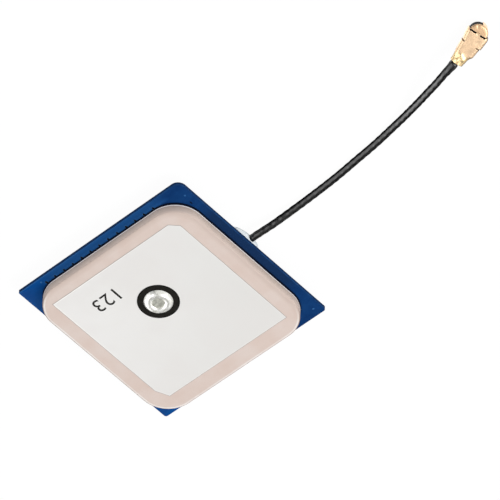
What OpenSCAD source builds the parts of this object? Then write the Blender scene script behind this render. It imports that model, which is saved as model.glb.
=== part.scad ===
// Square ceramic patch antenna on a small circuit board, with a shield can below and a coax lead.
// Millimetres, +Z up. The origin is under the middle of the board, on the can's flat face.
// The lead leaves towards +X and the row of vias lies along the +Y side.

/* [Circuit board] */
// Width of board that shows round the ceramic
board_rim = 1; // [0.8:0.1:2]
// Thickness of the board
board_t = 0.6; // [0.4:0.1:1.6]
// Radius of the corner between the lead and the vias
board_big_r = 1.2; // [0.4:0.1:2]
// Radius of the other corners
board_small_r = 0.6; // [0.2:0.1:1]
// Diameter of a ground via
via_d = 0.3; // [0.2:0.05:0.5]
// Distance from one via to the next
via_pitch = 1.5; // [0.8:0.1:1.8]
// Number of vias in a row
via_count = 13; // [3:1:13]
// Distance from the middle of a via to the board's edge
via_inset = 1.05; // [0.6:0.05:2]
// Shift of the rows away from the lead
via_shift = 0.65; // [0:0.05:1.5]

/* [Ceramic] */
// Side of the square ceramic
ceramic_w = 25; // [23:0.5:26]
// Thickness of the ceramic
ceramic_h = 1.6; // [1:0.1:5]
// Radius of its upright corners
ceramic_corner_r = 4; // [2:0.1:5]
// Radius of its upper and lower rims
ceramic_rim_r = 0.2; // [0.1:0.05:0.4]
// Shift of the ceramic away from the lead
ceramic_back = 0.2; // [0:0.05:0.5]
// Shift of the ceramic away from the visible vias
ceramic_down = 0.15; // [0:0.05:0.5]

/* [Silver films] */
// Width of bare ceramic round the upper film
film_rim = 2.2; // [1.8:0.1:3.5]
// Thickness of both films
film_t = 0.03; // [0.02:0.01:0.06]
// Shift of the upper film towards the visible vias
film_up = 0.3; // [0:0.05:0.6]
// Cut of the film's corner next to the lead
film_cut = 1.1; // [0.5:0.1:2.5]
// Cut of the opposite corner, along X
film_trim_x = 0.85; // [0.4:0.05:2]
// Cut of the opposite corner, along Y
film_trim_y = 1.85; // [0.4:0.05:2.5]
// Bare rim round the lower film
ground_inset = 0.4; // [0.2:0.1:1.5]
// Clearance round the pin in the lower film
ground_gap = 0.6; // [0.3:0.1:1.5]

/* [Adhesive pad] */
// Thickness of the pad
pad_t = 0.15; // [0.05:0.05:0.5]
// Distance from the pad's edge to the ceramic's side
pad_inset = 0.6; // [0.3:0.1:2]

/* [Feed] */
// Distance of the pin from the film's middle
feed_offset = 2.05; // [1:0.05:4]
// Diameter of the pin's shank
pin_d = 0.8; // [0.6:0.05:1.2]
// Diameter of the pin's head
pin_head_d = 1.9; // [1.5:0.1:2.6]
// Height of the pin's head
pin_head_h = 0.3; // [0.2:0.05:0.5]
// Length of the pin below the board
pin_tail = 0.6; // [0.4:0.1:1]
// Clearance round the pin in the board and the ceramic
pin_gap = 0.1; // [0.05:0.05:0.2]
// Outer diameter of the solder-stop ring
ring_d = 5.35; // [4.5:0.05:7]
// Inner diameter of the solder-stop ring
ring_bore = 3.6; // [3:0.05:4.2]
// Thickness of the solder-stop ring
ring_t = 0.03; // [0.02:0.01:0.05]
// Height of the solder round the head
feed_solder_h = 0.5; // [0.4:0.05:0.8]
// Radius of the solder round the pin's tail
tail_solder_r = 0.9; // [0.7:0.05:1.5]
// Height of the solder round the pin's tail
tail_solder_h = 0.4; // [0.2:0.05:0.6]

/* [Shield can] */
// Distance from the can to the board's edge next to the lead
can_front = 4.1; // [3.9:0.1:6]
// Distance from the can to the board's edge opposite the lead
can_back = 0.9; // [0.6:0.1:1.5]
// Distance from the can to the board's other two edges
can_side = 1.3; // [1.3:0.1:2]
// Height of the can
can_h = 2; // [1.8:0.1:3.5]
// Thickness of the can's sheet
can_t = 0.2; // [0.15:0.05:0.3]
// Outer radius of the can's folds
can_fold_r = 0.45; // [0.35:0.05:0.7]
// Side of the open notch at each corner
can_relief = 0.7; // [0.7:0.05:1.5]
// Clearance round the lead in the can's wall
gate_gap = 0.15; // [0.05:0.05:0.3]
// Length of a solder tack on the can
tack_l = 2.2; // [1:0.1:4]
// Leg of a solder tack
tack_leg = 0.35; // [0.2:0.05:0.5]
// Distance from the middle of a wall to its tacks
tack_offset = 6; // [3:0.5:7]

/* [Amplifier] */
// Length of the amplifier chip
chip_l = 2; // [1.5:0.1:3]
// Width of the amplifier chip
chip_w = 1.25; // [1:0.05:1.5]
// Height of the amplifier chip
chip_h = 0.9; // [0.6:0.05:1.1]
// Thickness of the chip's legs
leg_t = 0.15; // [0.1:0.05:0.2]
// Width of the chip's legs
leg_w = 0.3; // [0.2:0.05:0.4]
// Side of the filter
filter_w = 3; // [2:0.1:3.8]
// Height of the filter
filter_h = 1.2; // [0.8:0.1:1.3]
// Length of a small passive
passive_l = 1; // [0.8:0.05:1.6]
// Width of a small passive
passive_w = 0.5; // [0.3:0.05:0.8]
// Length of an inductor
coil_l = 1.6; // [1.2:0.1:2]
// Width of an inductor
coil_w = 0.8; // [0.6:0.1:1.2]
// Height by which a passive's metal ends stand proud
end_lip = 0.02; // [0.01:0.01:0.05]

/* [Coax lead] */
// Diameter of the jacket
cable_d = 0.95; // [0.8:0.01:1.2]
// Diameter of the braid
braid_d = 0.75; // [0.6:0.05:0.75]
// Diameter of the inner insulation
dielectric_d = 0.5; // [0.4:0.05:0.55]
// Diameter of the inner conductor
core_d = 0.2; // [0.1:0.05:0.3]
// Gap between the jacket and the board's underside
cable_drop = 0.025; // [0:0.005:0.1]
// Position of the lead along the board's edge
lead_y = 0.4; // [-3:0.1:3]
// Distance from the can to the end of the braid
braid_stop = 2; // [1.6:0.1:2.4]
// Length of inner insulation inside the can
dielectric_in = 0.25; // [0.1:0.05:0.6]
// Length of bare conductor inside the can
core_bare = 1; // [1:0.1:1.5]
// Distance from the board's edge to the end of the jacket
jacket_out = 0.1; // [0:0.05:0.2]

/* [Glue and lead solder] */
// Width of the glue along the board's edge
glue_w = 5; // [4:0.1:6]
// Distance along the edge from the lead to the middle of the glue
glue_shift = 0.95; // [0.5:0.05:1.2]
// Thickness of the glue across the board's edge
glue_depth = 2.5; // [2.2:0.1:3]
// Height of the glue below the board
glue_h = 1.2; // [1.1:0.05:1.5]
// Distance by which the glue stands out of the board's edge
glue_out = 0.8; // [0.5:0.05:1]
// Diameter of the solder on the braid
braid_solder_d = 1.6; // [1.2:0.1:1.8]
// Height of the solder on the braid
braid_solder_h = 1.05; // [0.95:0.05:1.3]
// Diameter of the solder on the inner conductor
core_solder_d = 0.9; // [0.7:0.1:1]
// Height of the solder on the inner conductor
core_solder_h = 0.75; // [0.7:0.05:1]

/* [Plug] */
// Place of the plug's rear end, along X
plug_x = 51; // [50.5:0.1:51.5]
// Place of the plug's rear end, along Y
plug_y = 5; // [4.85:0.05:5.1]
// Angle between the plug and +X, seen from above
plug_turn = 12; // [10:1:14]
// Angle by which the plug slopes down to its ring
plug_pitch = 17; // [14:1:19]
// Angle by which the plug leans over to its left side
plug_roll = 10; // [7:1:12]
// Distance from the plug's rear end to the middle of its ring
plug_reach = 4.55; // [4.4:0.05:5]
// Height of the plug
plug_h = 1.35; // [1.35:0.05:1.6]
// Thickness of the plug's sheet
shell_t = 0.15; // [0.12:0.01:0.17]
// Outer diameter of the ring
ring_od = 2.5; // [2.5:0.05:2.7]
// Height of the ring
ring_h = 0.95; // [0.8:0.05:1]
// Height of the bead inside the ring's mouth
mouth_bead = 0.07; // [0.05:0.01:0.1]
// Width of the hinge strap
strap_w = 2.3; // [1.6:0.1:2.4]
// Distance from the middle of the ring back to the slots
slot_back = 0.05; // [0.05:0.05:0.3]
// Width of the slots between cap and lid
slot_w = 0.2; // [0.1:0.02:0.3]
// Width of the bridge between the slots
bridge_w = 0.6; // [0.4:0.1:1]
// Width over the front wings
wing_front_w = 2.5; // [2.4:0.05:2.6]
// Length of the front wings
wing_front_l = 1.5; // [1.3:0.1:1.6]
// Width over the rear wings
wing_rear_w = 2.15; // [2:0.05:2.3]
// Length of the rear wings
wing_rear_l = 1.2; // [1:0.1:1.3]
// Gap between the front and rear wings
wing_gap = 0.15; // [0.1:0.05:0.2]
// Outer radius of the wings' folds
wing_fold_r = 0.25; // [0.25:0.05:0.35]
// Width of the lip folded under at the foot of each wing
wing_lip = 0.4; // [0.3:0.05:0.45]
// Height of the front wings' feet above the mouth
wing_front_foot = 0.3; // [0.2:0.05:0.3]
// Height of the rear wings' feet above the mouth
wing_rear_foot = 0.35; // [0.3:0.05:0.4]
// Length of the crimp barrel
barrel_l = 1.6; // [1.5:0.1:1.6]
// Clearance between the jacket and the barrel
barrel_gap = 0.02; // [0.01:0.01:0.05]
// Length of jacket held in the barrel
jacket_grip = 1.4; // [1.2:0.1:1.5]
// Width of the seam along the barrel
seam_w = 0.12; // [0.05:0.01:0.2]
// Radius of the crimping dents
dent_r = 0.5; // [0.4:0.05:0.8]
// Depth of the crimping dents
dent_depth = 0.1; // [0.05:0.01:0.12]
// Diameter of the contact tube
contact_d = 0.7; // [0.6:0.05:0.8]
// Bore of the contact tube
contact_bore = 0.46; // [0.4:0.02:0.5]
// Distance by which the contact stands back from the ring's mouth
contact_foot = 0.25; // [0.1:0.05:0.3]
// Thickness of the contact's tail
contact_tail_t = 0.12; // [0.1:0.01:0.2]
// Clearance between the insulator and the shell
insulator_gap = 0.02; // [0.01:0.01:0.05]
// Distance from the ring's mouth to the insulator
insulator_foot = 0.5; // [0.48:0.02:0.56]
// Thickness of the insulator's collar round the contact
collar_t = 0.15; // [0.1:0.05:0.2]
// Distance from the front wings' rear edge to the insulator
insulator_set_in = 0.1; // [0:0.05:0.3]
// Length of conductor held in the insulator
core_in = 0.7; // [0.5:0.1:1]
// Length of conductor that lies under the contact's tail
core_lap = 0.5; // [0.3:0.1:0.5]

/* [Hidden] */
$fn = 48;

// Sides of the square board and of the upper film, and the can's two sides
board_w = ceramic_w + 2 * board_rim;
film_w = ceramic_w - 2 * film_rim;
can_x = board_w - can_front - can_back;
can_y = board_w - 2 * can_side;

// Heights of the stack, from the can's flat face upwards
board_z = can_h;
pad_z = board_z + board_t;
ground_z = pad_z + pad_t;
ceramic_z = ground_z + film_t;
film_z = ceramic_z + ceramic_h;
face_z = film_z + film_t;

// Middles of the pieces in plan
ceramic_x = -ceramic_back;
ceramic_y = -ceramic_down;
film_x = ceramic_x;
film_y = ceramic_y + film_up;
feed_x = film_x;
feed_y = film_y + feed_offset;
can_mid_x = -board_w / 2 + can_back + can_x / 2;
can_end_x = can_mid_x + can_x / 2;

// Places of the amplifier's parts from the feed pin: x, y and turn
chip_place = [-3, -5.7, 0];
filter_place = [3, -5.7, 0];
capacitor_places = [[-6, -1.2, 0], [-6, -7.7, 90], [-0.2, -3.4, 0], [-0.2, -8.2, 90], [5.8, -3.8, 90],
                    [3.8, 0.4, 0]];
resistor_places = [[-3, -2.8, 0], [-5.8, -4.8, 90], [1.8, 0.4, 0]];
inductor_places = [[-3, -8.7, 0], [4.4, -1.7, 0]];

// The lead's axis under the board, and where its layers end there
lead_z = board_z - cable_d / 2 - cable_drop;
jacket_x = board_w / 2 + jacket_out;
braid_x = can_end_x + braid_stop;
dielectric_x = can_end_x - can_t - dielectric_in;
core_x = dielectric_x - core_bare;

// The plug's own heights and lengths, from its rear end and its mouth's plane
barrel_d = cable_d + 2 * barrel_gap + 2 * shell_t;
axis_z = plug_h - barrel_d / 2;
lid_z = plug_h - shell_t;
ring_bore_r = ring_od / 2 - shell_t;
slot_x = plug_reach - slot_back;
wing_front_x = slot_x - wing_front_l;
wing_rear_x = wing_front_x - wing_gap - wing_rear_l;
hinge_r = shell_t * 1.8;
lid_front_w = wing_front_w - 2 * wing_fold_r;
lid_rear_w = wing_rear_w - 2 * wing_fold_r;
block_x = wing_front_x + insulator_set_in;
insulator_r = ring_bore_r - insulator_gap;
tail_z = axis_z + core_d / 2;

// Height of the rear end of the mouth's plane, with the ring's lowest point on the surface
plug_lift = plug_reach * sin(plug_pitch)
            + ring_od / 2 * norm([sin(plug_pitch), cos(plug_pitch) * sin(plug_roll)]);

// Where the layers of the lead end inside the plug
plug_braid_x = wing_rear_x + wing_rear_l / 2;
plug_core_x = block_x + core_in;

// Dents in the crimp barrel: distance from its rear end, and turn about its axis
dents = [[0.4, 20], [0.85, -25], [1.25, 15]];

// Height of the straight edge of the pin's head
head_edge_h = pin_head_h * 0.7;

// Route of the lead from the board to the plug
route = [[jacket_x, lead_y, lead_z], [jacket_x + 0.5, lead_y, lead_z],
         [jacket_x + 1.2, lead_y, lead_z], [17.2, 0.25, 1.22],
         [19.8, 0.1, 0.85], [22.6, 0.05, 0.58], [25.6, 0.15, 0.48], [28.2, 0.35, 0.48],
         [31.2, 0.68, 0.48], [32.9, 0.85, 0.48], [34.6, 1.05, 0.48], [36.2, 1.3, 0.51],
         [37.9, 1.63, 0.62], [39.7, 2.03, 0.84], [41.5, 2.53, 1.18], [43.35, 3.1, 1.6],
         [45.2, 3.72, 2.05], [47.05, 4.32, 2.42], [48.8, 4.82, 2.65],
         plug_point(-0.8), plug_point(0), plug_point(jacket_grip)];
ring_sides = 8;
steps_per_stretch = 2;

// Angle between the corners of a drop's section
drop_step = 30;

// Point on the lead's axis in the plug, at a distance from the plug's rear end
function plug_point(along) =
    let (side = axis_z * sin(plug_roll),
         rise = axis_z * cos(plug_roll),
         ahead = along * cos(plug_pitch) + rise * sin(plug_pitch))
    [plug_x + ahead * cos(plug_turn) - side * sin(plug_turn),
     plug_y + ahead * sin(plug_turn) + side * cos(plug_turn),
     plug_lift - along * sin(plug_pitch) + rise * cos(plug_pitch)];

// Point on a smooth curve through p1 and p2, at share t of the way between them
function smooth_point(p0, p1, p2, p3, t) =
    0.5 * (2 * p1 + (p2 - p0) * t + (2 * p0 - 5 * p1 + 4 * p2 - p3) * t * t
           + (3 * p1 - p0 - 3 * p2 + p3) * t * t * t);

function smooth_route(points, steps) =
    let (last = len(points) - 1)
    concat([for (i = [0:last - 1], k = [0:steps - 1])
                smooth_point(points[max(i - 1, 0)], points[i], points[i + 1],
                             points[min(i + 2, last)], k / steps)],
           [points[last]]);

function unit(v) = v / norm(v);

// Direction of the route at point i
function heading(points, i) =
    unit(points[min(i + 1, len(points) - 1)] - points[max(i - 1, 0)]);

// One ring of the tube, square to the route
function tube_ring(points, i, r, sides) =
    let (ahead = heading(points, i),
         across = unit(cross([0, 0, 1], ahead)),
         upward = cross(ahead, across))
    [for (k = [0:sides - 1])
        points[i] + r * (cos(360 * (k + 0.5) / sides) * across + sin(360 * (k + 0.5) / sides) * upward)];

// Tube of radius r along the points
module tube(points, r, sides) {
    last = len(points) - 1;
    rings = [for (i = [0:last], p = tube_ring(points, i, r, sides)) p];
    walls = [for (i = [0:last - 1], k = [0:sides - 1])
                [i * sides + k, (i + 1) * sides + k,
                 (i + 1) * sides + (k + 1) % sides, i * sides + (k + 1) % sides]];
    start_cap = [for (k = [0:sides - 1]) k];
    end_cap = [for (k = [sides - 1:-1:0]) last * sides + k];
    polyhedron(points = rings, faces = concat(walls, [start_cap, end_cap]));
}

// Cylinder along X from x1 to x2
module bar_x(d, x1, x2) {
    translate([x1, 0, 0])
        rotate([0, 90, 0])
            cylinder(d = d, h = x2 - x1);
}

// Slab with upright corners of radius r, whose rim has the child outline:
// x runs outwards from the middle of the corner and y upwards
module rimmed_slab(w, d, r, h) {
    mid_x = w / 2 - r;
    mid_y = d / 2 - r;
    for (corner = [[1, 1, 0], [-1, 1, 90], [-1, -1, 180], [1, -1, 270]])
        translate([corner[0] * mid_x, corner[1] * mid_y, 0])
            rotate([0, 0, corner[2]])
                rotate_extrude(angle = 90)
                    children();
    for (turn = [0, 180])
        rotate([0, 0, turn])
            translate([mid_x, 0, 0])
                rotate([90, 0, 0])
                    linear_extrude(2 * mid_y, center = true)
                        children();
    for (turn = [90, 270])
        rotate([0, 0, turn])
            translate([mid_y, 0, 0])
                rotate([90, 0, 0])
                    linear_extrude(2 * mid_x, center = true)
                        children();
    translate([-mid_x, -mid_y, 0])
        cube([2 * mid_x, 2 * mid_y, h]);
}

// Outline from x = 0 to w and y = 0 to h, with its two outer corners rounded
module soft_edge(w, h, r) {
    square([w - r, h]);
    translate([0, r])
        square([w, h - 2 * r]);
    for (y = [r, h - r])
        translate([w - r, y])
            circle(r, $fn = 12);
}

// Waste of a rounded corner at the origin, for an outline that fills -X and -Y
module corner_waste(r) {
    difference() {
        translate([-r, -r])
            square(r + 1);
        translate([-r, -r])
            circle(r);
        translate([-2 * r, -2 * r])
            square([r, 3 * r + 1]);
        translate([-2 * r, -2 * r])
            square([3 * r + 1, r]);
    }
}

// Low mound below z = 0, w long in Y, with round ends; the child outline is its half section
module long_mound(w, d) {
    shift = (w - d) / 2;
    for (side = [0, 1])
        mirror([0, side, 0])
            translate([0, shift, 0])
                rotate_extrude()
                    children();
    for (side = [0, 1])
        mirror([side, 0, 0])
            rotate([90, 0, 0])
                linear_extrude(2 * shift, center = true)
                    children();
}

// Half section of a drop that hangs from y = 0: r wide and h deep
module drop_section(r, h) {
    polygon([[0, 0], for (a = [0:drop_step:90]) [r * cos(a), -h * sin(a)]]);
}

module circuit_board() {
    half = board_w / 2;
    color("#1c4a86")
        translate([0, 0, board_z])
            linear_extrude(board_t)
                difference() {
                    square(board_w, center = true);
                    translate([half, half])
                        corner_waste(board_big_r);
                    for (turn = [90, 180, 270])
                        rotate(turn)
                            translate([half, half])
                                corner_waste(board_small_r);
                    for (row = [-1, 1], i = [0:via_count - 1])
                        translate([(i - (via_count - 1) / 2) * via_pitch - via_shift,
                                   row * (half - via_inset)])
                            circle(d = via_d, $fn = 6);
                    translate([feed_x, feed_y])
                        circle(d = pin_d + 2 * pin_gap);
                }
}

module ceramic_body() {
    color("#dcc9bf")
        difference() {
            translate([ceramic_x, ceramic_y, ceramic_z])
                rimmed_slab(ceramic_w, ceramic_w, ceramic_corner_r, ceramic_h)
                    soft_edge(ceramic_corner_r, ceramic_h, ceramic_rim_r);
            translate([feed_x, feed_y, ceramic_z - 1])
                cylinder(d = pin_d + 2 * pin_gap, h = ceramic_h + 2);
        }
}

module top_electrode() {
    half = film_w / 2;
    color("#e6e4e0")
        translate([film_x, film_y, film_z])
            linear_extrude(film_t)
                difference() {
                    polygon([[half, -half], [half, half - film_cut], [half - film_cut, half],
                             [-half, half], [-half, -half + film_trim_y], [-half + film_trim_x, -half]]);
                    translate([0, feed_offset])
                        circle(d = pin_d + 2 * pin_gap);
                }
}

module ground_electrode() {
    color("#dcdad6")
        translate([ceramic_x, ceramic_y, ground_z])
            linear_extrude(film_t)
                difference() {
                    rounded_square(ceramic_w - 2 * ground_inset, ceramic_corner_r - ground_inset);
                    translate([feed_x - ceramic_x, feed_y - ceramic_y])
                        circle(d = pin_d + 2 * (pin_gap + ground_gap));
                }
}

module adhesive_pad() {
    color("#3b3f45")
        translate([ceramic_x, ceramic_y, pad_z])
            linear_extrude(pad_t)
                difference() {
                    rounded_square(ceramic_w - 2 * pad_inset, ceramic_corner_r - pad_inset);
                    translate([feed_x - ceramic_x, feed_y - ceramic_y])
                        circle(d = pin_d + 2 * (pin_gap + ground_gap));
                }
}

// Square with four corners of radius r
module rounded_square(w, r) {
    difference() {
        square(w, center = true);
        for (turn = [0:90:270])
            rotate(turn)
                translate([w / 2, w / 2])
                    corner_waste(r);
    }
}

module solder_stop_ring() {
    color("#1d1c1a")
        translate([feed_x, feed_y, face_z])
            linear_extrude(ring_t)
                difference() {
                    circle(d = ring_d, $fn = 96);
                    circle(d = ring_bore, $fn = 96);
                }
}

module feed_pin() {
    shank_r = pin_d / 2;
    head_r = pin_head_d / 2;
    chamfer = pin_d / 8;
    tail = face_z - board_z + pin_tail;
    color("#c9c7c0")
        translate([feed_x, feed_y, face_z])
            rotate_extrude()
                polygon([[0, -tail], [shank_r - chamfer, -tail], [shank_r, -tail + chamfer],
                         [shank_r, 0], [head_r, 0], [head_r, head_edge_h],
                         [head_r * 0.85, pin_head_h], [0, pin_head_h]]);
}

module feed_solder() {
    inner = pin_head_d / 2;
    outer = ring_bore / 2;
    mid = (inner + outer) / 2;
    half = (outer - inner) / 2;
    color("#d8d8d4")
        translate([feed_x, feed_y, face_z])
            rotate_extrude()
                difference() {
                    union() {
                        translate([mid, feed_solder_h - half])
                            circle(half, $fn = 12);
                        translate([inner, 0])
                            square([2 * half, feed_solder_h - half]);
                        translate([inner, 0])
                            square([half, head_edge_h]);
                    }
                    translate([0, -1])
                        square([2 * outer, 1]);
                }
}

module pin_solder() {
    shank_r = pin_d / 2;
    reach = tail_solder_r - shank_r;
    color("#d0d0cc")
        translate([feed_x, feed_y, board_z])
            rotate_extrude()
                difference() {
                    polygon([[shank_r, 0], [tail_solder_r, 0],
                             [shank_r + reach * 0.45, -tail_solder_h * 0.45],
                             [shank_r, -tail_solder_h]]);
                    translate([0, -tail_solder_h - 1])
                        square([shank_r, tail_solder_h + 2]);
                }
}

// Upright section of the folded can: w wide, open at the top
module can_section(w) {
    difference() {
        folded_foot(w, can_h, can_fold_r);
        translate([0, can_t])
            folded_foot(w - 2 * can_t, can_h, can_fold_r - can_t);
    }
}

// Block w wide and h high whose two lower corners have radius r
module folded_foot(w, h, r) {
    translate([-w / 2, r])
        square([w, h - r]);
    translate([-w / 2 + r, 0])
        square([w - 2 * r, h]);
    for (side = [-1, 1])
        translate([side * (w / 2 - r), r])
            circle(r);
}

module shield_can() {
    gate = dielectric_d + 2 * gate_gap;
    color("#b9bbbd")
        difference() {
            translate([can_mid_x, 0, 0]) {
                rotate([90, 0, 0])
                    linear_extrude(can_y - 2 * can_relief, center = true)
                        can_section(can_x);
                rotate([90, 0, 90])
                    linear_extrude(can_x - 2 * can_relief, center = true)
                        can_section(can_y);
            }
            translate([can_end_x - 1, lead_y - gate / 2, lead_z])
                cube([2, gate, can_h]);
            at_lead()
                bar_x(gate, can_end_x - 1, can_end_x + 1);
        }
}

module can_solder() {
    color("#d0d0cc") {
        for (side = [-1, 1], along = [-1, 1])
            translate([can_mid_x + along * tack_offset, side * can_y / 2, board_z])
                rotate([0, 0, side * 90])
                    tack();
        for (along = [-1, 1])
            translate([can_mid_x - can_x / 2, along * tack_offset, board_z])
                rotate([0, 0, 180])
                    tack();
    }
}

// Fillet of solder below z = 0 and out towards +X
module tack() {
    rotate([90, 0, 0])
        linear_extrude(tack_l, center = true)
            difference() {
                translate([0, -tack_leg])
                    square(tack_leg);
                translate([tack_leg, -tack_leg])
                    circle(tack_leg * 0.8);
            }
}

// Hangs the child, drawn below z = 0, under the board at a place beside the feed pin
module under_board(place) {
    translate([feed_x + place[0], feed_y + place[1], board_z])
        rotate([0, 0, place[2]])
            children();
}

// Chip body hanging from the board, with two bent legs on each long side
module lna_chip() {
    foot = 0.35;
    lift = 0.1;
    color("#2a2a2c")
        under_board(chip_place)
            mirror([0, 0, 1]) {
                translate([-chip_l / 2, -chip_w / 2, lift])
                    cube([chip_l, chip_w, chip_h]);
                for (side = [0, 1], x = [-1, 1])
                    mirror([0, side, 0])
                        translate([x * chip_l / 3 - leg_w / 2, chip_w / 2, 0]) {
                            cube([leg_w, leg_t, lift + chip_h / 2]);
                            cube([leg_w, foot, leg_t]);
                        }
            }
}

module saw_filter() {
    lid_inset = 0.2;
    lid_h = 0.1;
    color("#c8b27a")
        under_board(filter_place) {
            translate([-filter_w / 2, -filter_w / 2, lid_h - filter_h])
                cube([filter_w, filter_w, filter_h - lid_h]);
            translate([-filter_w / 2 + lid_inset, -filter_w / 2 + lid_inset, -filter_h])
                cube([filter_w - 2 * lid_inset, filter_w - 2 * lid_inset, lid_h]);
        }
}

// Two-ended chip part hanging from the board
module passive(l, w) {
    end_l = l / 4;
    translate([0, 0, -w]) {
        translate([-l / 2 + end_l, -w / 2 + end_lip, end_lip])
            cube([l - 2 * end_l, w - 2 * end_lip, w - 2 * end_lip]);
        for (side = [-1, 1])
            translate([side * (l - end_l) / 2 - end_l / 2, -w / 2, 0])
                cube([end_l, w, w]);
    }
}

module chip_capacitors() {
    color("#a07850")
        for (place = capacitor_places)
            under_board(place)
                passive(passive_l, passive_w);
}

module chip_resistors() {
    color("#303234")
        for (place = resistor_places)
            under_board(place)
                passive(passive_l, passive_w);
}

module chip_inductors() {
    color("#7a8088")
        for (place = inductor_places)
            under_board(place)
                passive(coil_l, coil_w);
}

module cable() {
    color("#17181a")
        tube(smooth_route(route, steps_per_stretch), cable_d / 2, ring_sides);
}

// Places the child, drawn along +X from the plug's rear end, at the plug
module at_plug() {
    translate([plug_x, plug_y, plug_lift])
        rotate([-plug_roll, plug_pitch, plug_turn])
            children();
}

module at_plug_axis() {
    at_plug()
        translate([0, 0, axis_z])
            children();
}

module at_lead() {
    translate([0, lead_y, lead_z])
        children();
}

module braid_ends() {
    color("#b87a4a") {
        at_lead()
            bar_x(braid_d, braid_x, jacket_x);
        at_plug_axis()
            bar_x(braid_d, jacket_grip, plug_braid_x);
    }
}

module dielectric_ends() {
    color("#eeeae2") {
        at_lead()
            bar_x(dielectric_d, dielectric_x, braid_x);
        at_plug_axis()
            bar_x(dielectric_d, plug_braid_x, block_x);
    }
}

module core_ends() {
    color("#c8c4ba") {
        at_lead()
            bar_x(core_d, core_x, dielectric_x);
        at_plug_axis()
            bar_x(core_d, block_x, plug_core_x);
    }
}

module braid_solder() {
    color("#d0d0cc")
        difference() {
            translate([braid_x + braid_solder_d / 2, lead_y, board_z])
                rotate_extrude()
                    drop_section(braid_solder_d / 2, braid_solder_h);
            at_lead()
                bar_x(braid_d, braid_x, jacket_x);
        }
}

module core_solder() {
    color("#d0d0cc")
        difference() {
            translate([core_x + core_bare / 2, lead_y, board_z])
                rotate_extrude()
                    drop_section(core_solder_d / 2, core_solder_h);
            at_lead() {
                bar_x(core_d, core_x, dielectric_x);
                bar_x(dielectric_d, dielectric_x, dielectric_x + core_solder_d);
            }
        }
}

module glue_bead() {
    color("#dce6ea")
        difference() {
            translate([board_w / 2 + glue_out - glue_depth / 2, lead_y + glue_shift, board_z])
                long_mound(glue_w, glue_depth)
                    drop_section(glue_depth / 2, glue_h);
            at_lead() {
                bar_x(braid_d, 0, jacket_x);
                bar_x(cable_d, jacket_x, jacket_x + glue_depth);
            }
            translate([braid_x + braid_solder_d / 2, lead_y, board_z])
                rotate_extrude()
                    drop_section(braid_solder_d / 2, braid_solder_h);
        }
}

// Section of a pair of wings under the lid: a C with its lips turned in
module wing_section(w, foot) {
    h = plug_h - foot;
    difference() {
        wing_block(w, h, wing_fold_r);
        translate([0, shell_t])
            wing_block(w - 2 * shell_t, h - 2 * shell_t, wing_fold_r - shell_t);
        translate([-w / 2 + wing_lip, -1])
            square([w - 2 * wing_lip, 1 + shell_t * 2]);
    }
}

// Block w wide and h high with four corners of radius r
module wing_block(w, h, r) {
    translate([-w / 2, r])
        square([w, h - 2 * r]);
    translate([-w / 2 + r, 0])
        square([w - 2 * r, h]);
    for (side = [-1, 1], y = [r, h - r])
        translate([side * (w / 2 - r), y])
            circle(r, $fn = 12);
}

module wings(x, l, w, foot) {
    translate([x, 0, foot])
        rotate([90, 0, 90])
            linear_extrude(l)
                wing_section(w, foot);
}

// Mating ring with a bead inside its mouth, open towards the rear for the insulator
module mating_ring() {
    outer = ring_od / 2;
    translate([plug_reach, 0, 0])
        difference() {
            rotate_extrude() {
                translate([ring_bore_r, 0])
                    square([shell_t, ring_h]);
                translate([ring_bore_r, mouth_bead * 1.5])
                    circle(mouth_bead, $fn = 8);
            }
            translate([-outer - 1, -lid_front_w / 2 - insulator_gap, -1])
                cube([outer + 1, lid_front_w + 2 * insulator_gap, ring_h + 2]);
        }
}

// Strap that rises from the front of the ring and bends back into the cap
module hinge_strap() {
    half_turn = asin(strap_w / ring_od);
    translate([plug_reach, 0, 0])
        rotate([0, 0, -half_turn])
            rotate_extrude(angle = 2 * half_turn)
                difference() {
                    bent_corner(ring_od / 2, plug_h, hinge_r);
                    bent_corner(ring_bore_r, lid_z, hinge_r - shell_t);
                    square([ring_od, ring_h]);
                }
}

// Upright block that ends at x and at height h, with its upper corner rounded
module bent_corner(x, h, r) {
    translate([x - 2 * hinge_r, 0])
        square([2 * hinge_r - r, h]);
    translate([x - 2 * hinge_r, 0])
        square([2 * hinge_r, h - r]);
    translate([x - r, h - r])
        circle(r, $fn = 12);
}

// Flat sheet of cap, bridge and lid, seen from above
module top_sheet() {
    neck_lap = 0.3;
    cap_x = slot_x + slot_w;
    intersection() {
        translate([plug_reach, 0])
            circle(d = ring_od - 2 * hinge_r);
        translate([cap_x, -ring_od])
            square(2 * ring_od);
    }
    translate([slot_x - slot_w, -bridge_w / 2])
        square([3 * slot_w, bridge_w]);
    translate([wing_front_x, -lid_front_w / 2])
        square([wing_front_l, lid_front_w]);
    translate([wing_rear_x, -lid_rear_w / 2])
        square([wing_rear_l + wing_gap, lid_rear_w]);
    polygon([[barrel_l - neck_lap, -barrel_d / 4], [wing_rear_x, -lid_rear_w / 2],
             [wing_rear_x, lid_rear_w / 2], [barrel_l - neck_lap, barrel_d / 4]]);
}

// Rolled barrel round the jacket, with a seam below and dents on top
module crimp_barrel() {
    outer = barrel_d / 2;
    translate([0, 0, axis_z])
        difference() {
            bar_x(barrel_d, 0, barrel_l);
            bar_x(cable_d + 2 * barrel_gap, -1, barrel_l + 1);
            translate([-1, -seam_w / 2, -outer - 1])
                cube([barrel_l + 2, seam_w, outer + 1]);
            for (dent = dents)
                translate([dent[0], 0, 0])
                    rotate([dent[1], 0, 0])
                        translate([0, 0, outer + dent_r - dent_depth])
                            rotate([90, 0, 0])
                                cylinder(r = dent_r, h = barrel_d, center = true, $fn = 12);
        }
}

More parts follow.
